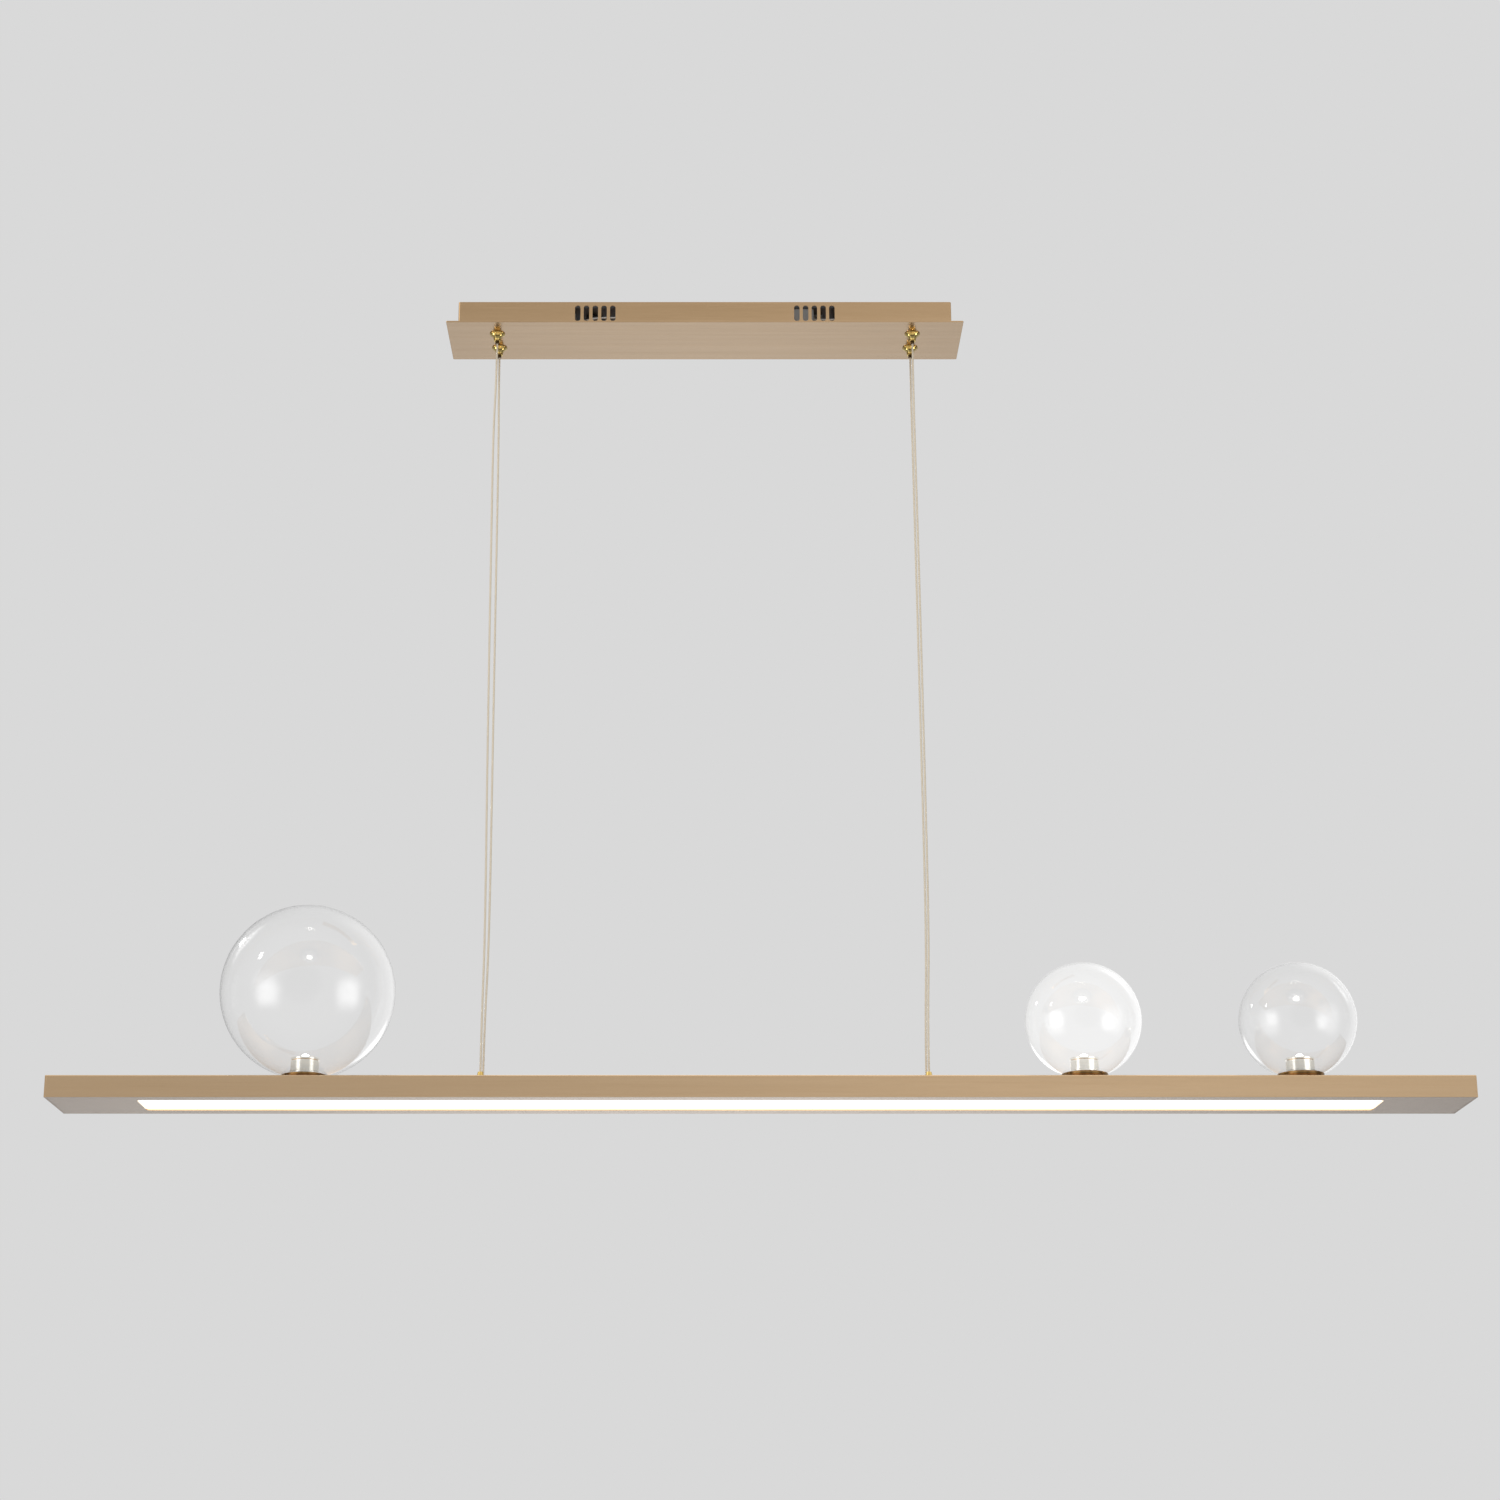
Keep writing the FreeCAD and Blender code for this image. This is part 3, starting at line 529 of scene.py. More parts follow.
sleeve, surface, place = new_finish("lead_sleeve", {"Roughness": 0.4})
rub = place.noise((60.0, 400.0, 400.0))
rub.blend((0.80, 0.80, 0.78), (0.90, 0.90, 0.89)).feed(surface, "Base Color")
(0.3 + rub * 0.25).feed(surface, "Roughness")
rub.relief(0.06, 0.0001).feed(surface, "Normal")
dress(sleeve, "canopy_leads", "bar_leads")

rubber, surface, place = new_finish("black_rubber", {"Roughness": 0.7})
bloom = place.noise((500.0, 500.0, 500.0), 4.0)
bloom.blend((0.015, 0.015, 0.016), (0.05, 0.05, 0.05)).feed(surface, "Base Color")
(0.55 + bloom * 0.3).feed(surface, "Roughness")
bloom.relief(0.2, 0.0001).feed(surface, "Normal")
dress(rubber, "cable_grommet")

# Cable grippers
# Each cable leaves the canopy through a turned and polished brass gripper: a
# flange against the plate, a trumpet flare down to a narrow neck with a bead,
# and a sprung, dark-coloured nib that frees the cable when it is pushed up.
flange_radius = 0.007
flange_height = 0.001
flange_round = 0.00035
flare_waist = 0.0011
neck_radius = 0.0029
bead = 0.00025
gripper_bore = 0.00255
nib_bore = 0.0019
gripper_lip = 0.002
shank_radius = 0.004
thread_depth = 0.0004
thread_pitch = 0.001
nib_radius = 0.00175
nib_hole = 0.00125
nib_nose = 0.0003
nib_collar = 0.0016
nib_slip = 0.00005
edge_share = 0.3  # how far a rounded edge's middle stands in from its corner
start_size = 0.001
merge_reach = 0.000002


def bow(a, through, b, count):
    """Points on the arc from a to b by way of a third point, ends included."""
    corners = (a, through, b)
    square = [p * p + q * q for p, q in corners]
    rise = (through[1] - b[1], b[1] - a[1], a[1] - through[1])
    run = (b[0] - through[0], a[0] - b[0], through[0] - a[0])
    d = 2 * sum(corner[0] * step for corner, step in zip(corners, rise))
    u = sum(part * step for part, step in zip(square, rise)) / d
    v = sum(part * step for part, step in zip(square, run)) / d
    radius = math.hypot(a[0] - u, a[1] - v)
    start, mid, end = (math.atan2(q - v, p - u) for p, q in corners)
    sweep = (end - start) % math.tau
    if (mid - start) % math.tau > sweep:
        sweep -= math.tau
    angles = [start + sweep * k / count for k in range(count + 1)]
    return [(u + radius * math.cos(angle), v + radius * math.sin(angle)) for angle in angles]


def turned(profile, x, y, steps=72):
    """A lathe piece: its outline is drawn point by point beside the axis and spun about it."""
    bpy.ops.mesh.primitive_plane_add(
        size=start_size, location=(x + profile[0][0], y, profile[0][1]))
    piece = bpy.context.object
    bpy.ops.object.transform_apply(location=True)
    bpy.ops.object.mode_set(mode="EDIT")
    bpy.ops.mesh.select_mode(type="VERT")
    bpy.ops.mesh.select_all(action="SELECT")
    bpy.ops.mesh.merge(type="CENTER")
    for before, after in zip(profile, profile[1:]):
        step = (after[0] - before[0], 0, after[1] - before[1])
        bpy.ops.mesh.extrude_vertices_move(TRANSFORM_OT_translate={"value": step})
    bpy.ops.mesh.select_all(action="SELECT")
    bpy.ops.mesh.spin(steps=steps, angle=math.tau, center=(x, y, 0), axis=(0, 0, 1))
    bpy.ops.mesh.select_all(action="SELECT")
    bpy.ops.mesh.remove_doubles(threshold=merge_reach)
    bpy.ops.mesh.normals_make_consistent(inside=False)
    bpy.ops.object.mode_set(mode="OBJECT")
    return piece


def copied(piece, shift):
    """A second piece like the first, with its own mesh, some way off."""
    select_only(piece)
    bpy.ops.object.duplicate(linked=False)
    twin = bpy.context.object
    bpy.ops.transform.translate(value=shift)
    bpy.ops.object.transform_apply(location=True)
    return twin


first = hang_spots["front_left"]
body_low, body_high = corners_of("gripper_body_front_left")
under = plate_low.z
foot = body_low.z
rim_low = under - flange_height
shank = [(shank_radius, body_high.z)]
for k in range(int((body_high.z - under) / thread_pitch)):
    level = body_high.z - (k + 0.5) * thread_pitch
    shank += [(shank_radius - thread_depth, level), (shank_radius, level - thread_pitch / 2)]
outline = [(gripper_bore, body_high.z)] + shank
outline += [(shank_radius - thread_depth, under), (flange_radius - flange_round, under)]
outline += bow((flange_radius - flange_round, under), (flange_radius, (under + rim_low) / 2),
               (flange_radius - flange_round, rim_low), 6)[1:]
waist = ((flange_radius + neck_radius) / 2 - flare_waist, (rim_low + foot) / 2 + flare_waist / 2)
neck = (neck_radius, foot + 3 * bead)
outline += bow((flange_radius - flange_round, rim_low), waist, neck, 14)[1:]
outline += bow(neck, (neck_radius + bead, foot + 1.5 * bead), (neck_radius, foot), 6)[1:]
outline += [(nib_bore, foot), (nib_bore, foot + gripper_lip),
            (gripper_bore, foot + gripper_lip), outline[0]]
first_gripper = turned(outline, first.x, first.y)

nib_low, nib_high = corners_of("gripper_nib_front_left")
collar_radius = (nib_high.x - nib_low.x) / 2
collar_low = foot + gripper_lip + nib_slip
collar_high = collar_low + nib_collar
outline = [(nib_hole, nib_low.z)]
outline += bow((nib_radius - nib_nose, nib_low.z),
               (nib_radius - nib_nose * edge_share, nib_low.z + nib_nose * edge_share),
               (nib_radius, nib_low.z + nib_nose), 5)
outline += [(nib_radius, collar_low), (collar_radius, collar_low), (collar_radius, collar_high),
            (nib_radius, collar_high), (nib_radius, nib_high.z), (nib_hole, nib_high.z),
            (nib_hole, nib_low.z)]
first_nib = turned(outline, first.x, first.y, 48)
# a dark metal colour for the nib
dark_nib_metal, surface, place = new_finish("dark_nib_finish", {"Metallic": 1.0, "Roughness": 0.2})
stain = place.noise((500.0, 500.0, 500.0), 3.0)
rub = place.noise((2400.0, 2400.0, 300.0))
(stain * 0.6 + rub * 0.4).blend((0.05, 0.035, 0.02), (0.26, 0.18, 0.09)).feed(surface, "Base Color")
(0.14 + stain * 0.16).feed(surface, "Roughness")
rub.relief(0.04, 0.0001).feed(surface, "Normal")

for name in hang_names:
    shift = (hang_spots[name].x - first.x, hang_spots[name].y - first.y, 0)
    gripper = first_gripper if name == "front_left" else copied(first_gripper, shift)
    nib = first_nib if name == "front_left" else copied(first_nib, shift)
    settle(gripper, "trumpet_gripper_" + name, "canopy", bright_brass, "polished_brass",
           "gripper_body_" + name)
    settle(nib, "release_nib_" + name, "nib_" + name, dark_nib_metal, "polished_brass",
           "gripper_nib_" + name)

# Bar
# The light bar's top and sides are one folded channel of the same brushed
# brass sheet, closed at each end by a plate whose rim plugs into it. The
# cables and the globes' nipples go through holes in its top.
bar_bend = 0.0018
bar_wall = 0.0015
bar_corner_segments = 5
shank_hole_radius = 0.0031
nipple_hole_radius = 0.0041
cap_rim = 0.004
cap_rim_inset = 0.0016
cap_hollow = 0.0036
bar_drill_reach = 0.006
globe_names = ("large", "small_inner", "small_outer")
globe_spots = {name: middle_of("globe_" + name) for name in globe_names}
bar_low, bar_high = corners_of("bar_housing")


def top_edge_along(middle, way):
    return abs(way.x) > squarely and middle.z > bar_low.z + bar_bend


shell = slab(bar_low, bar_high)
bpy.ops.object.mode_set(mode="EDIT")
pick(shell, "edges", top_edge_along)
bpy.ops.mesh.bevel(offset=bar_bend, segments=bar_corner_segments)
pick(shell, "faces", lambda middle, facing: facing.z < -squarely or abs(facing.x) > squarely)
bpy.ops.mesh.delete(type="FACE")
bpy.ops.object.mode_set(mode="OBJECT")
sheet = shell.modifiers.new("sheet", "SOLIDIFY")
sheet.thickness = bar_wall
sheet.offset = -1
bpy.ops.object.modifier_apply(modifier=sheet.name)
for spot in hang_spots.values():
    drill(shell, (spot.x, spot.y, bar_high.z), shank_hole_radius, bar_drill_reach)
for spot in globe_spots.values():
    drill(shell, (spot.x, 0, bar_high.z), nipple_hole_radius, bar_drill_reach)
soften(shell, sheet_edge)
settle(shell, "bar_channel", "bar", sheet_brass, "brushed_brass", "bar_housing")

end_brass = brushed_brass("brushed_brass_ends", 1)
for side, node in ((-1, "bar_end_cap_left"), (1, "bar_end_cap_right")):
    low, high = corners_of(node)
    if side < 0:
        high.x = bar_low.x
    else:
        low.x = bar_high.x
    cap = slab(low, high)
    bpy.ops.object.mode_set(mode="EDIT")
    pick(cap, "edges", top_edge_along)
    bpy.ops.mesh.bevel(offset=bar_bend, segments=bar_corner_segments)
    pick(cap, "faces", lambda middle, facing: facing.x * side < -squarely)
    bpy.ops.mesh.inset(thickness=cap_rim_inset)
    bpy.ops.mesh.extrude_region_move(TRANSFORM_OT_translate={"value": (-side * cap_rim, 0, 0)})
    bpy.ops.mesh.inset(thickness=bar_wall)
    bpy.ops.mesh.extrude_region_move(TRANSFORM_OT_translate={"value": (side * cap_hollow, 0, 0)})
    bpy.ops.object.mode_set(mode="OBJECT")
    soften(cap, sheet_edge)
    settle(cap, "bar_end_plate_left" if side < 0 else "bar_end_plate_right", "bar", end_brass,
           "brushed_brass", node)

# Underside
# A flat cover closes the bar from below. It has a long slot with rounded
# corners, behind which lies the opal diffuser, and two upturned edges that
# clip inside the channel. The tray above holds the light strip.
slot_from_end = 0.075
slot_from_side = 0.015
slot_corner = 0.004
cover_thick = 0.0015
cover_flange_thick = 0.0012
cover_flange_end = 0.006
cover_low, cover_high = corners_of("bottom_cover")
cover_top = cover_low.z + cover_thick
bar_ends = (bar_low.x - bar_wall, bar_high.x + bar_wall)

cover = slab(cover_low, Vector((cover_high.x, cover_high.y, cover_top)))
slot_low = (bar_ends[0] + slot_from_end, bar_low.y + slot_from_side, cover_low.z - cover_thick)
slot_high = (bar_ends[1] - slot_from_end, bar_high.y - slot_from_side, cover_top + cover_thick)
slot = slab(Vector(slot_low), Vector(slot_high))
bpy.ops.object.mode_set(mode="EDIT")
pick(slot, "edges", upright)
bpy.ops.mesh.bevel(offset=slot_corner, segments=8)
bpy.ops.object.mode_set(mode="OBJECT")
cut(cover, slot)
flanges = [cover]
for side in (-1, 1):
    y0, y1 = sorted((side * cover_high.y, side * (cover_high.y - cover_flange_thick)))
    flanges.append(slab(Vector((cover_low.x + cover_flange_end, y0, cover_top)),
                        Vector((cover_high.x - cover_flange_end, y1, cover_high.z))))
select_only(cover)
for piece in flanges:
    piece.select_set(True)
bpy.ops.object.join()
soften(cover, sheet_edge)
settle(cover, "slotted_bottom_cover", "bar", sheet_brass, "brushed_brass", "bottom_cover")

opal, surface, place = new_finish("opal_diffuser", {
    "Base Color": (0.93, 0.93, 0.92, 1.0), "Roughness": 0.5, "Emission Strength": 1.6})
haze = place.noise((3.0, 40.0, 40.0))
satin = place.noise((1800.0, 1800.0, 1800.0))
haze.blend((1.0, 0.975, 0.93), (1.0, 0.99, 0.965)).feed(surface, "Emission Color")
(0.42 + satin * 0.2).feed(surface, "Roughness")
satin.relief(0.05, 0.0001).feed(surface, "Normal")
low, high = corners_of("diffuser")
strip = slab(low, high)
bpy.ops.object.mode_set(mode="EDIT")
pick(strip, "edges", upright)
bpy.ops.mesh.bevel(offset=slot_corner, segments=6)
bpy.ops.object.mode_set(mode="OBJECT")
soften(strip, sheet_edge)
settle(strip, "opal_strip", "bar", opal, "opal_acrylic", "diffuser")

aluminium, surface, place = new_finish("mill_aluminium", {"Metallic": 1.0, "Roughness": 0.4})
rolled = place.noise((8.0, 1500.0, 1500.0))
rolled.blend((0.68, 0.68, 0.69), (0.82, 0.82, 0.83)).feed(surface, "Base Color")
(0.28 + rolled * 0.2).feed(surface, "Roughness")
rolled.relief(0.1, 0.0001).feed(surface, "Normal")
dress(aluminium, "led_tray", "lamp_core_large", "lamp_core_small_inner", "lamp_core_small_outer")

board, surface, place = new_finish("circuit_board", {"Roughness": 0.4, "Specular IOR Level": 0.5})
mask = place.noise((300.0, 300.0, 300.0), 3.0)
mask.blend((0.82, 0.82, 0.80), (0.90, 0.90, 0.89)).feed(surface, "Base Color")
(0.3 + mask * 0.2).feed(surface, "Roughness")
mask.relief(0.05, 0.0001).feed(surface, "Normal")
dress(board, "led_strip")

# Cable outlets
# Where a cable enters the bar it goes through a small turned ferrule of the
# same polished brass, with a stepped foot and a slender concave nose.
ferrule_foot_height = 0.00245
ferrule_edge = 0.0005
ferrule_nose_radius = 0.0022
ferrule_waist = 0.00055
ferrule_shank_radius = 0.003
ferrule_hole = 0.00125
low, high = corners_of("ferrule_front_left")
ferrule_radius = (high.x - low.x) / 2
shoulder = bar_high.z + ferrule_foot_height
outline = [(ferrule_hole, low.z), (ferrule_shank_radius, low.z), (ferrule_shank_radius, bar_high.z),
           (ferrule_radius, bar_high.z)]
outline += bow((ferrule_radius, shoulder - ferrule_edge),
               (ferrule_radius - ferrule_edge * edge_share, shoulder - ferrule_edge * edge_share),
               (ferrule_radius - ferrule_edge, shoulder), 5)
outline += bow((ferrule_radius - 2 * ferrule_edge, shoulder),
               (ferrule_nose_radius + ferrule_waist, (shoulder + high.z) / 2),
               (ferrule_nose_radius, high.z), 12)
outline += [(ferrule_hole, high.z), (ferrule_hole, low.z)]
first_ferrule = turned(outline, first.x, first.y)
for name in hang_names:
    shift = (hang_spots[name].x - first.x, hang_spots[name].y - first.y, 0)
    ferrule = first_ferrule if name == "front_left" else copied(first_ferrule, shift)
    settle(ferrule, "turned_ferrule_" + name, "bar", bright_brass, "polished_brass",
           "ferrule_" + name)

# Saucers
# Each globe sits on a turned dish of polished brass. Its rim follows the
# glass, a groove in it takes the clear gasket, and the lamp cup stands in the
# well in its middle.
glass_lift = 0.0043
saucer_foot = 0.0165
saucer_rim = 0.0007
saucer_belly = 0.0009
saucer_belly_share = 0.45
saucer_well = 0.0124
saucer_groove = 0.01655
saucer_hole = 0.0041
saucer_gap = 0.0003
gasket_drop = 0.0023
saucer_seat = 0.003
saucer_rim_share = (0.25, 0.2)


def under_glass(radius, r):
    """How far a globe's outside stands over the bar's top, at a distance from its axis."""
    return glass_lift + radius - math.sqrt(radius ** 2 - r ** 2)


# painted shade: the saucers' brass is coloured far darker than the other polished brass, for dark
# reflections under the globes
shaded_saucer_brass, surface, place = new_finish("polished_brass_painted_dark", {
    "Metallic": 1.0, "Roughness": 0.12})
smear = place.noise((120.0, 120.0, 120.0), 4.0)
polish = place.noise((1500.0, 1500.0, 3000.0))
tone = (smear * 0.7 + polish * 0.3).blend((0.19, 0.09, 0.035), (0.45, 0.27, 0.1))
tone.feed(surface, "Base Color")
(0.05 + smear * 0.14).feed(surface, "Roughness")
polish.relief(0.03, 0.0001).feed(surface, "Normal")
for name in globe_names:
    low, high = corners_of("saucer_" + name)
    glass_low, glass_high = corners_of("globe_" + name)
    ball = (glass_high.x - glass_low.x) / 2
    rim = (high.x - low.x) / 2
    top = high.z - low.z
    inner = rim - saucer_rim
    across = (saucer_groove + inner) / 2
    groove_floor = under_glass(ball, saucer_well) - gasket_drop
    outline = [(saucer_hole, 0), (saucer_foot - saucer_gap, 0), (saucer_foot, saucer_gap)]
    outline += bow((saucer_foot, saucer_gap), (rim - saucer_belly, top * saucer_belly_share),
                   (rim, top - saucer_rim), 12)[1:]
    crest = (rim - saucer_rim * saucer_rim_share[0], top - saucer_rim * saucer_rim_share[1])
    outline += bow((rim, top - saucer_rim), crest, (inner, top), 5)[1:]
    outline += bow((inner, top), (across, under_glass(ball, across) - saucer_gap),
                   (saucer_groove, under_glass(ball, saucer_groove) - saucer_gap), 6)[1:]
    outline += [(saucer_groove, groove_floor), (saucer_well, groove_floor),
                (saucer_well, saucer_seat), (saucer_hole, saucer_seat), (saucer_hole, 0)]
    saucer = turned([(r, bar_high.z + z) for r, z in outline], globe_spots[name].x, 0, 96)
    settle(saucer, "turned_saucer_" + name, "bar", shaded_saucer_brass, "polished_brass",
           "saucer_" + name)

# Lamp cups
# A nickel-plated cup with a fine outside thread stands in each saucer, held
# by a hollow nipple and its nut. An aluminium core in its mouth carries the
# light-emitting chip under a moulded clear dome.
cup_wall = 0.0013
cup_round = 0.0004
cup_ledge = 0.0012
cup_floor = 0.002
core_depth = 0.0044
ridge_pitch = 0.00125
ridge_height = 0.00042
ridge_root = 0.00105
ridge_crest_share = 0.3
ridge_sunk = 0.0002
ridge_steps = 64
nickel, surface, place = new_finish("nickel_plate", {"Metallic": 1.0, "Roughness": 0.15})
smear = place.noise((150.0, 150.0, 150.0), 3.0)
lathe = place.noise((400.0, 400.0, 5200.0))
tone = (smear * 0.6 + lathe * 0.4).blend((0.78, 0.76, 0.70), (0.96, 0.95, 0.90))
tone.feed(surface, "Base Color")
(0.08 + smear * 0.12).feed(surface, "Roughness")
lathe.relief(0.05, 0.0001).feed(surface, "Normal")
cup_low, cup_high = corners_of("lamp_cup_large")
cup_x = (cup_low.x + cup_high.x) / 2
cup_radius = (cup_high.x - cup_low.x) / 2
root = cup_radius - ridge_height
bore = cup_radius - cup_wall
ledge = cup_high.z - core_depth
outline = [(saucer_hole, cup_low.z), (root - cup_round, cup_low.z), (root, cup_low.z + cup_round),
           (root, cup_high.z - 2 * ridge_pitch), (cup_radius, cup_high.z - 1.5 * ridge_pitch)]
outline += bow((cup_radius, cup_high.z - cup_round),
               (cup_radius - cup_round * edge_share, cup_high.z - cup_round * edge_share),
               (cup_radius - cup_round, cup_high.z), 5)
outline += [(bore, cup_high.z), (bore, ledge), (bore - cup_ledge, ledge),
            (bore - cup_ledge, cup_low.z + cup_floor), (saucer_hole, cup_low.z + cup_floor),
            (saucer_hole, cup_low.z)]
first_cup = turned(outline, cup_x, 0, 96)
ridge_turns = int((cup_high.z - cup_low.z) / ridge_pitch) - 3
bpy.ops.mesh.primitive_plane_add(
    size=1, location=(cup_x + root + (ridge_height - ridge_sunk) / 2, 0, cup_low.z + ridge_pitch),
    rotation=(math.radians(90), 0, 0))
ridge = bpy.context.object
ridge.scale = (ridge_height + ridge_sunk, ridge_root, 1)
bpy.ops.object.transform_apply(location=True, rotation=True, scale=True)
bpy.ops.object.mode_set(mode="EDIT")
pick(ridge, "edges", lambda middle, way: middle.x > cup_x + root + ridge_height / 2)
bpy.ops.transform.resize(value=(1, 1, ridge_crest_share))
bpy.ops.mesh.select_all(action="SELECT")
bpy.ops.mesh.delete(type="ONLY_FACE")
bpy.ops.object.mode_set(mode="OBJECT")
scene.cursor.location = (cup_x, 0, 0)
bpy.ops.object.origin_set(type="ORIGIN_CURSOR")
screw = ridge.modifiers.new("thread", "SCREW")
screw.screw_offset = ridge_pitch
screw.iterations = ridge_turns
screw.steps = ridge_steps
screw.render_steps = ridge_steps
bpy.ops.object.modifier_apply(modifier=screw.name)
bpy.ops.object.mode_set(mode="EDIT")
bpy.ops.mesh.select_all(action="SELECT")
bpy.ops.mesh.fill_holes(sides=4)
bpy.ops.mesh.select_all(action="SELECT")
bpy.ops.mesh.normals_make_consistent(inside=False)
bpy.ops.object.mode_set(mode="OBJECT")
bpy.ops.object.transform_apply(location=True)
select_only(first_cup)
ridge.select_set(True)
bpy.ops.object.join()
for name in globe_names:
    shift = (globe_spots[name].x - cup_x, 0, 0)
    cup = first_cup if name == "large" else copied(first_cup, shift)
    settle(cup, "threaded_cup_" + name, "bar", nickel, "nickel_plate", "lamp_cup_" + name)
dress(zinc, "nipple_large", "nipple_small_inner", "nipple_small_outer")

lens_glow, surface, place = new_finish("glowing_lens", {
    "Base Color": (0.95, 0.95, 0.93, 1.0), "Roughness": 0.2, "Emission Strength": 220.0})
facets = place.noise((900.0, 900.0, 900.0))
facets.blend((1.0, 0.96, 0.88), (1.0, 0.99, 0.95)).feed(surface, "Emission Color")
(0.15 + facets * 0.1).feed(surface, "Roughness")
facets.relief(0.04, 0.0001).feed(surface, "Normal")
lens_skirt = 0.0008
lens_foot_width = 0.0008
dome_fullness = (0.75, 0.68)
lens_low, lens_high = corners_of("lamp_lens_large")
lens_radius = (lens_high.x - lens_low.x) / 2
dome_radius = lens_radius - lens_foot_width
dome_low = lens_low.z + lens_skirt
outline = [(0, lens_low.z), (lens_radius, lens_low.z), (lens_radius, dome_low),
           (dome_radius, dome_low)]
dome_shoulder = (dome_radius * dome_fullness[0],
                 dome_low + (lens_high.z - dome_low) * dome_fullness[1])
outline += bow((dome_radius, dome_low), dome_shoulder, (0, lens_high.z), 16)[1:]
first_lens = turned(outline, cup_x, 0)
for name in globe_names:
    shift = (globe_spots[name].x - cup_x, 0, 0)
    lens = first_lens if name == "large" else copied(first_lens, shift)
    settle(lens, "dome_lens_" + name, "bar", lens_glow, "lens_acrylic", "lamp_lens_" + name)

# Gaskets
# A soft ring of clear silicone under each globe keeps the glass off the brass
# and turns with it.
silicone, surface, place = new_finish("clear_silicone", {
    "Roughness": 0.5, "Subsurface Weight": 0.3, "IOR": 1.41})
bloom = place.noise((260.0, 260.0, 260.0), 3.0)
bloom.blend((0.66, 0.66, 0.64), (0.80, 0.80, 0.79)).feed(surface, "Base Color")
(0.4 + bloom * 0.2).feed(surface, "Roughness")
bloom.relief(0.08, 0.0001).feed(surface, "Normal")
dress(silicone, "gasket_large", "gasket_small_inner", "gasket_small_outer")

# Globes
# Hollow spheres of clear blown glass. The mouth of each is turned inwards as
# a short collar, which screws onto the lamp cup. A faint painted glow in the
# glass stands in for the lamp's light on it, strongest in the inner small globe.
glass_wall = 0.0013
collar_height = 0.0045
mouth_radius = 0.01265
mouth_round = 0.0005
mouth_bevel = 0.0004
hair = 0.000001
glass_shy = 0.00002
globe_segments = 240
globe_rings = 150
# painted glow: each glass's own faint emission, for the lamp's light on it
painted_glass_glow = {"large": 0.003, "small_inner": 0.042, "small_outer": 0.006}
for name in globe_names:
    glass, surface, place = new_finish("clear_glass_" + name, {
        "Base Color": (1.0, 1.0, 1.0, 1.0), "Roughness": 0.0,
        "Transmission Weight": 1.0, "IOR": 1.45,
        "Emission Color": (1.0, 0.995, 0.98, 1.0), "Emission Strength": painted_glass_glow[name]})
    ripple = place.noise((22.0, 22.0, 16.0))
    ripple.relief(0.02, 0.002).feed(surface, "Normal")
    glass_low, glass_high = corners_of("globe_" + name)
    ball = (glass_high.x - glass_low.x) / 2 - glass_shy
    centre = Vector((globe_spots[name].x, 0, glass_high.z - ball))
    mouth = centre.z - math.sqrt(ball ** 2 - mouth_radius ** 2)
    bpy.ops.mesh.primitive_uv_sphere_add(
        segments=globe_segments, ring_count=globe_rings, radius=ball, location=centre)
    globe = bpy.context.object
    bpy.ops.object.transform_apply(location=True)
    bpy.ops.object.mode_set(mode="EDIT")
    bpy.ops.mesh.select_all(action="SELECT")
    bpy.ops.mesh.bisect(plane_co=(0, 0, mouth), plane_no=(0, 0, 1), clear_inner=True)
    pick(globe, "edges", lambda middle, way: middle.z < mouth + hair)
    for rise in (mouth_round, collar_height - mouth_round):
        bpy.ops.mesh.extrude_edges_move(TRANSFORM_OT_translate={"value": (0, 0, rise)})
    pick(globe, "edges", lambda middle, way: middle.z < mouth + hair and abs(way.z) < 0.01)
    bpy.ops.mesh.bevel(offset=mouth_bevel, segments=4)
    bpy.ops.object.mode_set(mode="OBJECT")
    wall = globe.modifiers.new("wall", "SOLIDIFY")
    wall.thickness = glass_wall
    wall.offset = -1
    settle(globe, "blown_globe_" + name, "glass_" + name, glass, "clear_glass", "globe_" + name)

# Studio
# Plain soft light, a pale floor and a shaded ceiling over the canopy. Metal
# sees a surround that dims towards the floor and glows behind the bar, and two
# low softboxes; glass sees the other three softboxes and two small lamps.
surround = 0.694
sky_brightest = 1.4
sky = (
    # where, from straight down (0) to straight up (1), and what metal sees there
    (0.0, (1.0, 0.97, 0.88)), (0.07, (0.8, 0.77, 0.7)), (0.15, (0.14, 0.14, 0.15)),
    (0.26, (0.575, 0.6, 0.65)), (0.41, (0.515, 0.565, 0.645)), (0.5, (0.93, 0.95, 0.97)),
    (0.59, (1.0, 1.0, 1.0)), (0.715, (0.735, 0.69, 0.625)), (0.88, (1.3, 1.28, 1.25)),
)
sweep_brightest = 2.4
sweep = (
    # where, from left (0) to right (1), and how bright the front is there
    (0.0, 0.3), (0.09, 2.4), (0.19, 2.2), (0.32, 0.9), (0.44, 0.95), (0.5, 1.07),
    (0.575, 1.36), (0.62, 1.15), (0.7, 0.9), (0.82, 1.5), (0.9, 1.5), (1.0, 0.3),
)
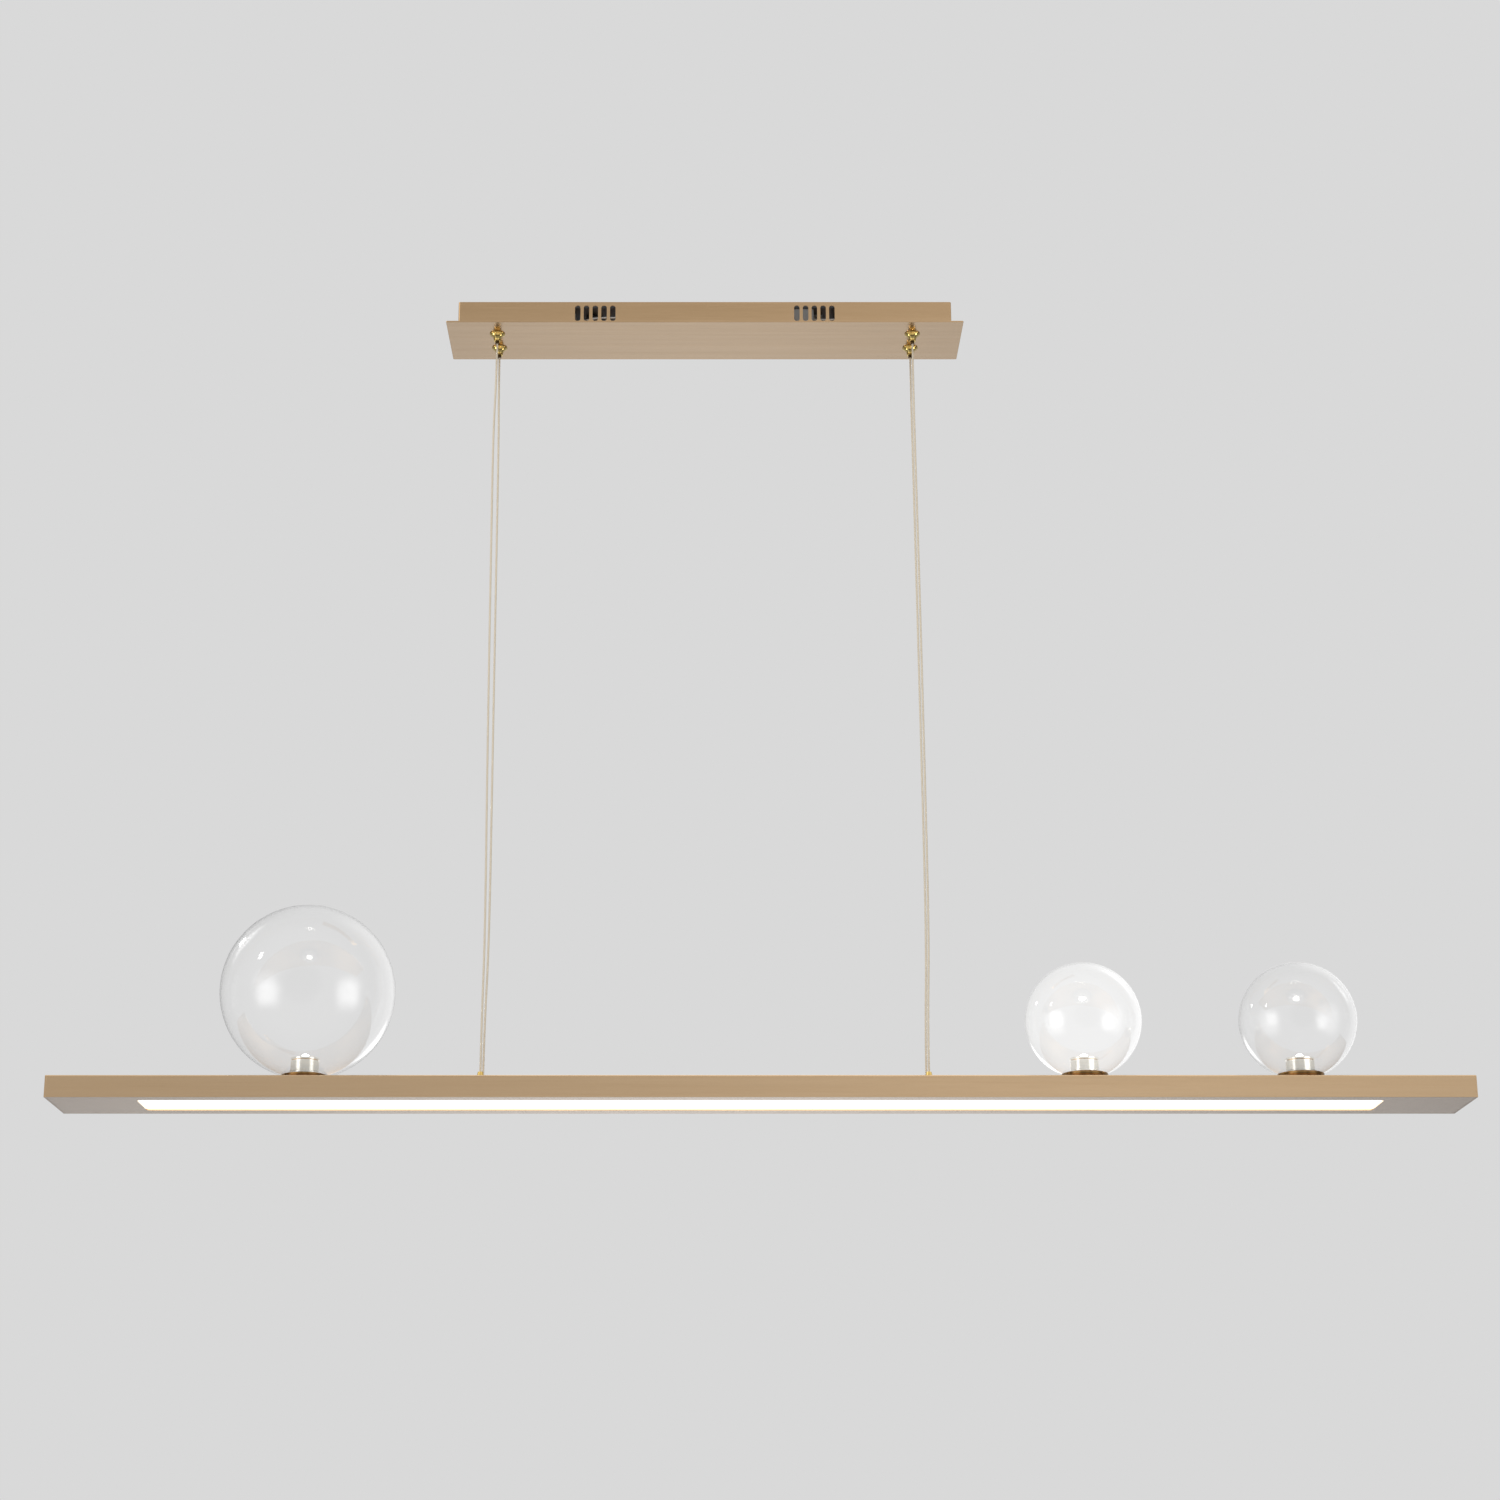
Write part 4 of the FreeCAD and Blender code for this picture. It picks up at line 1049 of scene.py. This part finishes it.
# how strong each change in the surround is, and between which slopes it comes in
rear_glow, glow_reach = 1.0, (0.0, 0.3)
rear_side = (0.1, 0.6)
flank_shade, flank_side = 0.3, (0.35, 0.75)
low_shade, low_start, low_end = 0.35, (0.05, 0.3), (0.62, 0.85)
glass_front, front_start, front_end = 0.9, (-0.97, -0.85), (-0.6, 0.3)
glass_right, glass_left, glass_side = 0.95, 0.32, (0.0, 0.45)
cup_shade, cup_side = 0.55, (-0.2, 0.7)
lights = (
    # name, place, width, height, glow, and whether glass (1) or metal (0) shows it
    ("softbox_left", (-1.57, -1.08, -0.77), 1.45, 1.55, 2.6, 1),
    ("softbox_right", (1.5, -0.9, -0.78), 1.8, 1.7, 2.4, 1),
    ("softbox_behind", (0.08, 1.1, -0.86), 0.5, 0.55, 2.2, 1),
    ("softbox_low_left", (-1.35, 0.15, -1.25), 0.8, 0.8, 6.0, 0),
    ("softbox_low_right", (1.35, 0.15, -1.25), 0.8, 0.8, 6.0, 0),
    ("lamp_high_left", (-1.48, -0.53, 0.18), 0.18, 0.3, 30.0, 1),
    ("lamp_far_left", (-1.29, 0.81, 0.17), 0.25, 0.18, 30.0, 1),
)
soft_edge = 0.75
ceiling_gap = 0.0004
ceiling_shade = (0.05, 0.052, 0.055, 1.0)
floor_level = -2.35
floor_size = 60.0
white = (1.0, 1.0, 1.0)


def ease(value, start, end):
    """0 before the start, 1 after the end, and smooth between."""
    return value.node("ShaderNodeMapRange", {"interpolation_type": "SMOOTHSTEP"}, {
        "Value": value, "From Min": start, "From Max": end, "To Min": 0.0, "To Max": 1.0})


def ray_kinds(beside, *kinds):
    """For each kind, 1 on its rays and 0 on all others."""
    return [beside.node("ShaderNodeLightPath", {}, {}, "Is %s Ray" % kind) for kind in kinds]


def light_only(name):
    """A material with no surface yet, then its output and object coordinates."""
    material, surface, place = new_finish(name, {})
    material.node_tree.nodes.remove(surface)
    return material, material.node_tree.nodes["Material Output"], place


def light_up(output, where, light):
    """Light where the mask is 1, and nothing where it is 0."""
    shine = where.node("ShaderNodeEmission", {}, light)
    clear = where.node("ShaderNodeBsdfTransparent", {}, {})
    where.node("ShaderNodeMixShader", {}, {0: where, 1: clear, 2: shine}).feed(output, "Surface")


world = bpy.data.worlds.new("studio")
scene.world = world
world.use_nodes = True
background = world.node_tree.nodes["Background"]
look = Wire(background.outputs[0]).node("ShaderNodeTexCoord", {}, {}, "Generated")
right, rear, up = (look.node("ShaderNodeSeparateXYZ", {}, {0: look}, axis) for axis in "XYZ")
glossy, mirrored, through = ray_kinds(look, "Glossy", "Singular", "Transmission")
on_metal = glossy * (1 - mirrored) * (1 - through)
on_glass = glossy * mirrored * (1 - through)
on_cup = glossy * (1 - mirrored) * through

sky_stops = [(where, tuple(part / sky_brightest for part in colour)) for where, colour in sky]
tint = up.node("ShaderNodeValToRGB", {"stops": sky_stops}, {0: up * 0.5 + 0.5})
sweep_stops = [(where, (level / sweep_brightest,) * 3) for where, level in sweep]
front = right.node("ShaderNodeValToRGB", {"stops": sweep_stops}, {0: right * 0.5 + 0.5})
aside = right.maths("ABSOLUTE", right, 0.0)
down = 0 - up
behind = ease(rear, *rear_side)
hump = 1 - ease(aside, *glow_reach)
flank = 1 - ease(aside, *flank_side) * flank_shade
low_front = ease(down, *low_start) * (1 - ease(down, *low_end)) * low_shade
metal_sees = behind * (1 + hump * rear_glow) * flank
metal_sees = metal_sees + (1 - behind) * (front * sweep_brightest) * (1 - low_front)
about_camera = ease(rear, *front_start) * (1 - ease(rear, *front_end))
sides = ease(right, *glass_side) * glass_right - ease(0 - right, *glass_side) * glass_left
glass_sees = 1 + about_camera * glass_front + behind * sides
level = 1 + on_metal * (metal_sees * sky_brightest - 1) + on_glass * (glass_sees - 1)
level = level - on_cup * ease(rear, *cup_side) * cup_shade
on_metal.blend(white, tint).feed(background, "Color")
(level * surround).feed(background, "Strength")

for name, spot, width, tall, glow, for_glass in lights:
    bpy.ops.mesh.primitive_plane_add(size=1, location=spot)
    card = bpy.context.object
    card.name = name
    card.scale = (width, tall, 1)
    aim = Vector((0.0, 0.0, spot[2])) - Vector(spot)
    card.rotation_euler = aim.to_track_quat("Z", "Y").to_euler()
    card.visible_camera = False
    card.visible_diffuse = False
    card.visible_transmission = name.startswith("softbox")
    card.visible_shadow = False
    finish, output, place = light_only(name)
    mirrored, through = ray_kinds(place, "Singular", "Transmission")
    bounces = place.node("ShaderNodeLightPath", {}, {}, "Glossy Depth")
    rough = (1 - mirrored) * (1 - through)
    shape = (1 - rough if for_glass else rough) * bounces.maths("MINIMUM", bounces, 1.0)
    for axis in "XY":
        reach = place.node("ShaderNodeSeparateXYZ", {}, {0: place}, axis)
        far = reach.maths("ABSOLUTE", reach, 0.0)
        shape = shape * (1 - ease(far, 0.5 * (1 - soft_edge), 0.5))
    light_up(output, shape, {"Strength": glow})
    card.data.materials.append(finish)

bpy.ops.mesh.primitive_plane_add(size=1, location=(0, 0, ceiling_gap))
ceiling = bpy.context.object
ceiling.name = "ceiling_over_canopy"
ceiling.scale = (2 * (box_high.x - canopy_wall), 2 * (box_high.y - canopy_wall), 1)
finish, output, place = light_only("shaded_ceiling")
underside = place.node("ShaderNodeNewGeometry", {}, {}, "Backfacing")
seen_from_below = ray_kinds(place, "Camera")[0] * underside
light_up(output, seen_from_below, {"Color": ceiling_shade, "Strength": 1.0})
ceiling.data.materials.append(finish)

bpy.ops.mesh.primitive_plane_add(size=floor_size, location=(0, 0, floor_level))
floor = bpy.context.object
floor.name = "studio_floor"
pale, surface, place = new_finish("pale_floor", {
    "Roughness": 0.9, "Specular IOR Level": 0.1,
    "Emission Color": white + (1.0,), "Emission Strength": 0.2})
dust = place.noise((2.0, 2.0, 2.0))
dust.blend((0.70, 0.70, 0.70), (0.73, 0.73, 0.73)).feed(surface, "Base Color")
floor.data.materials.append(pale)
floor.visible_glossy = False
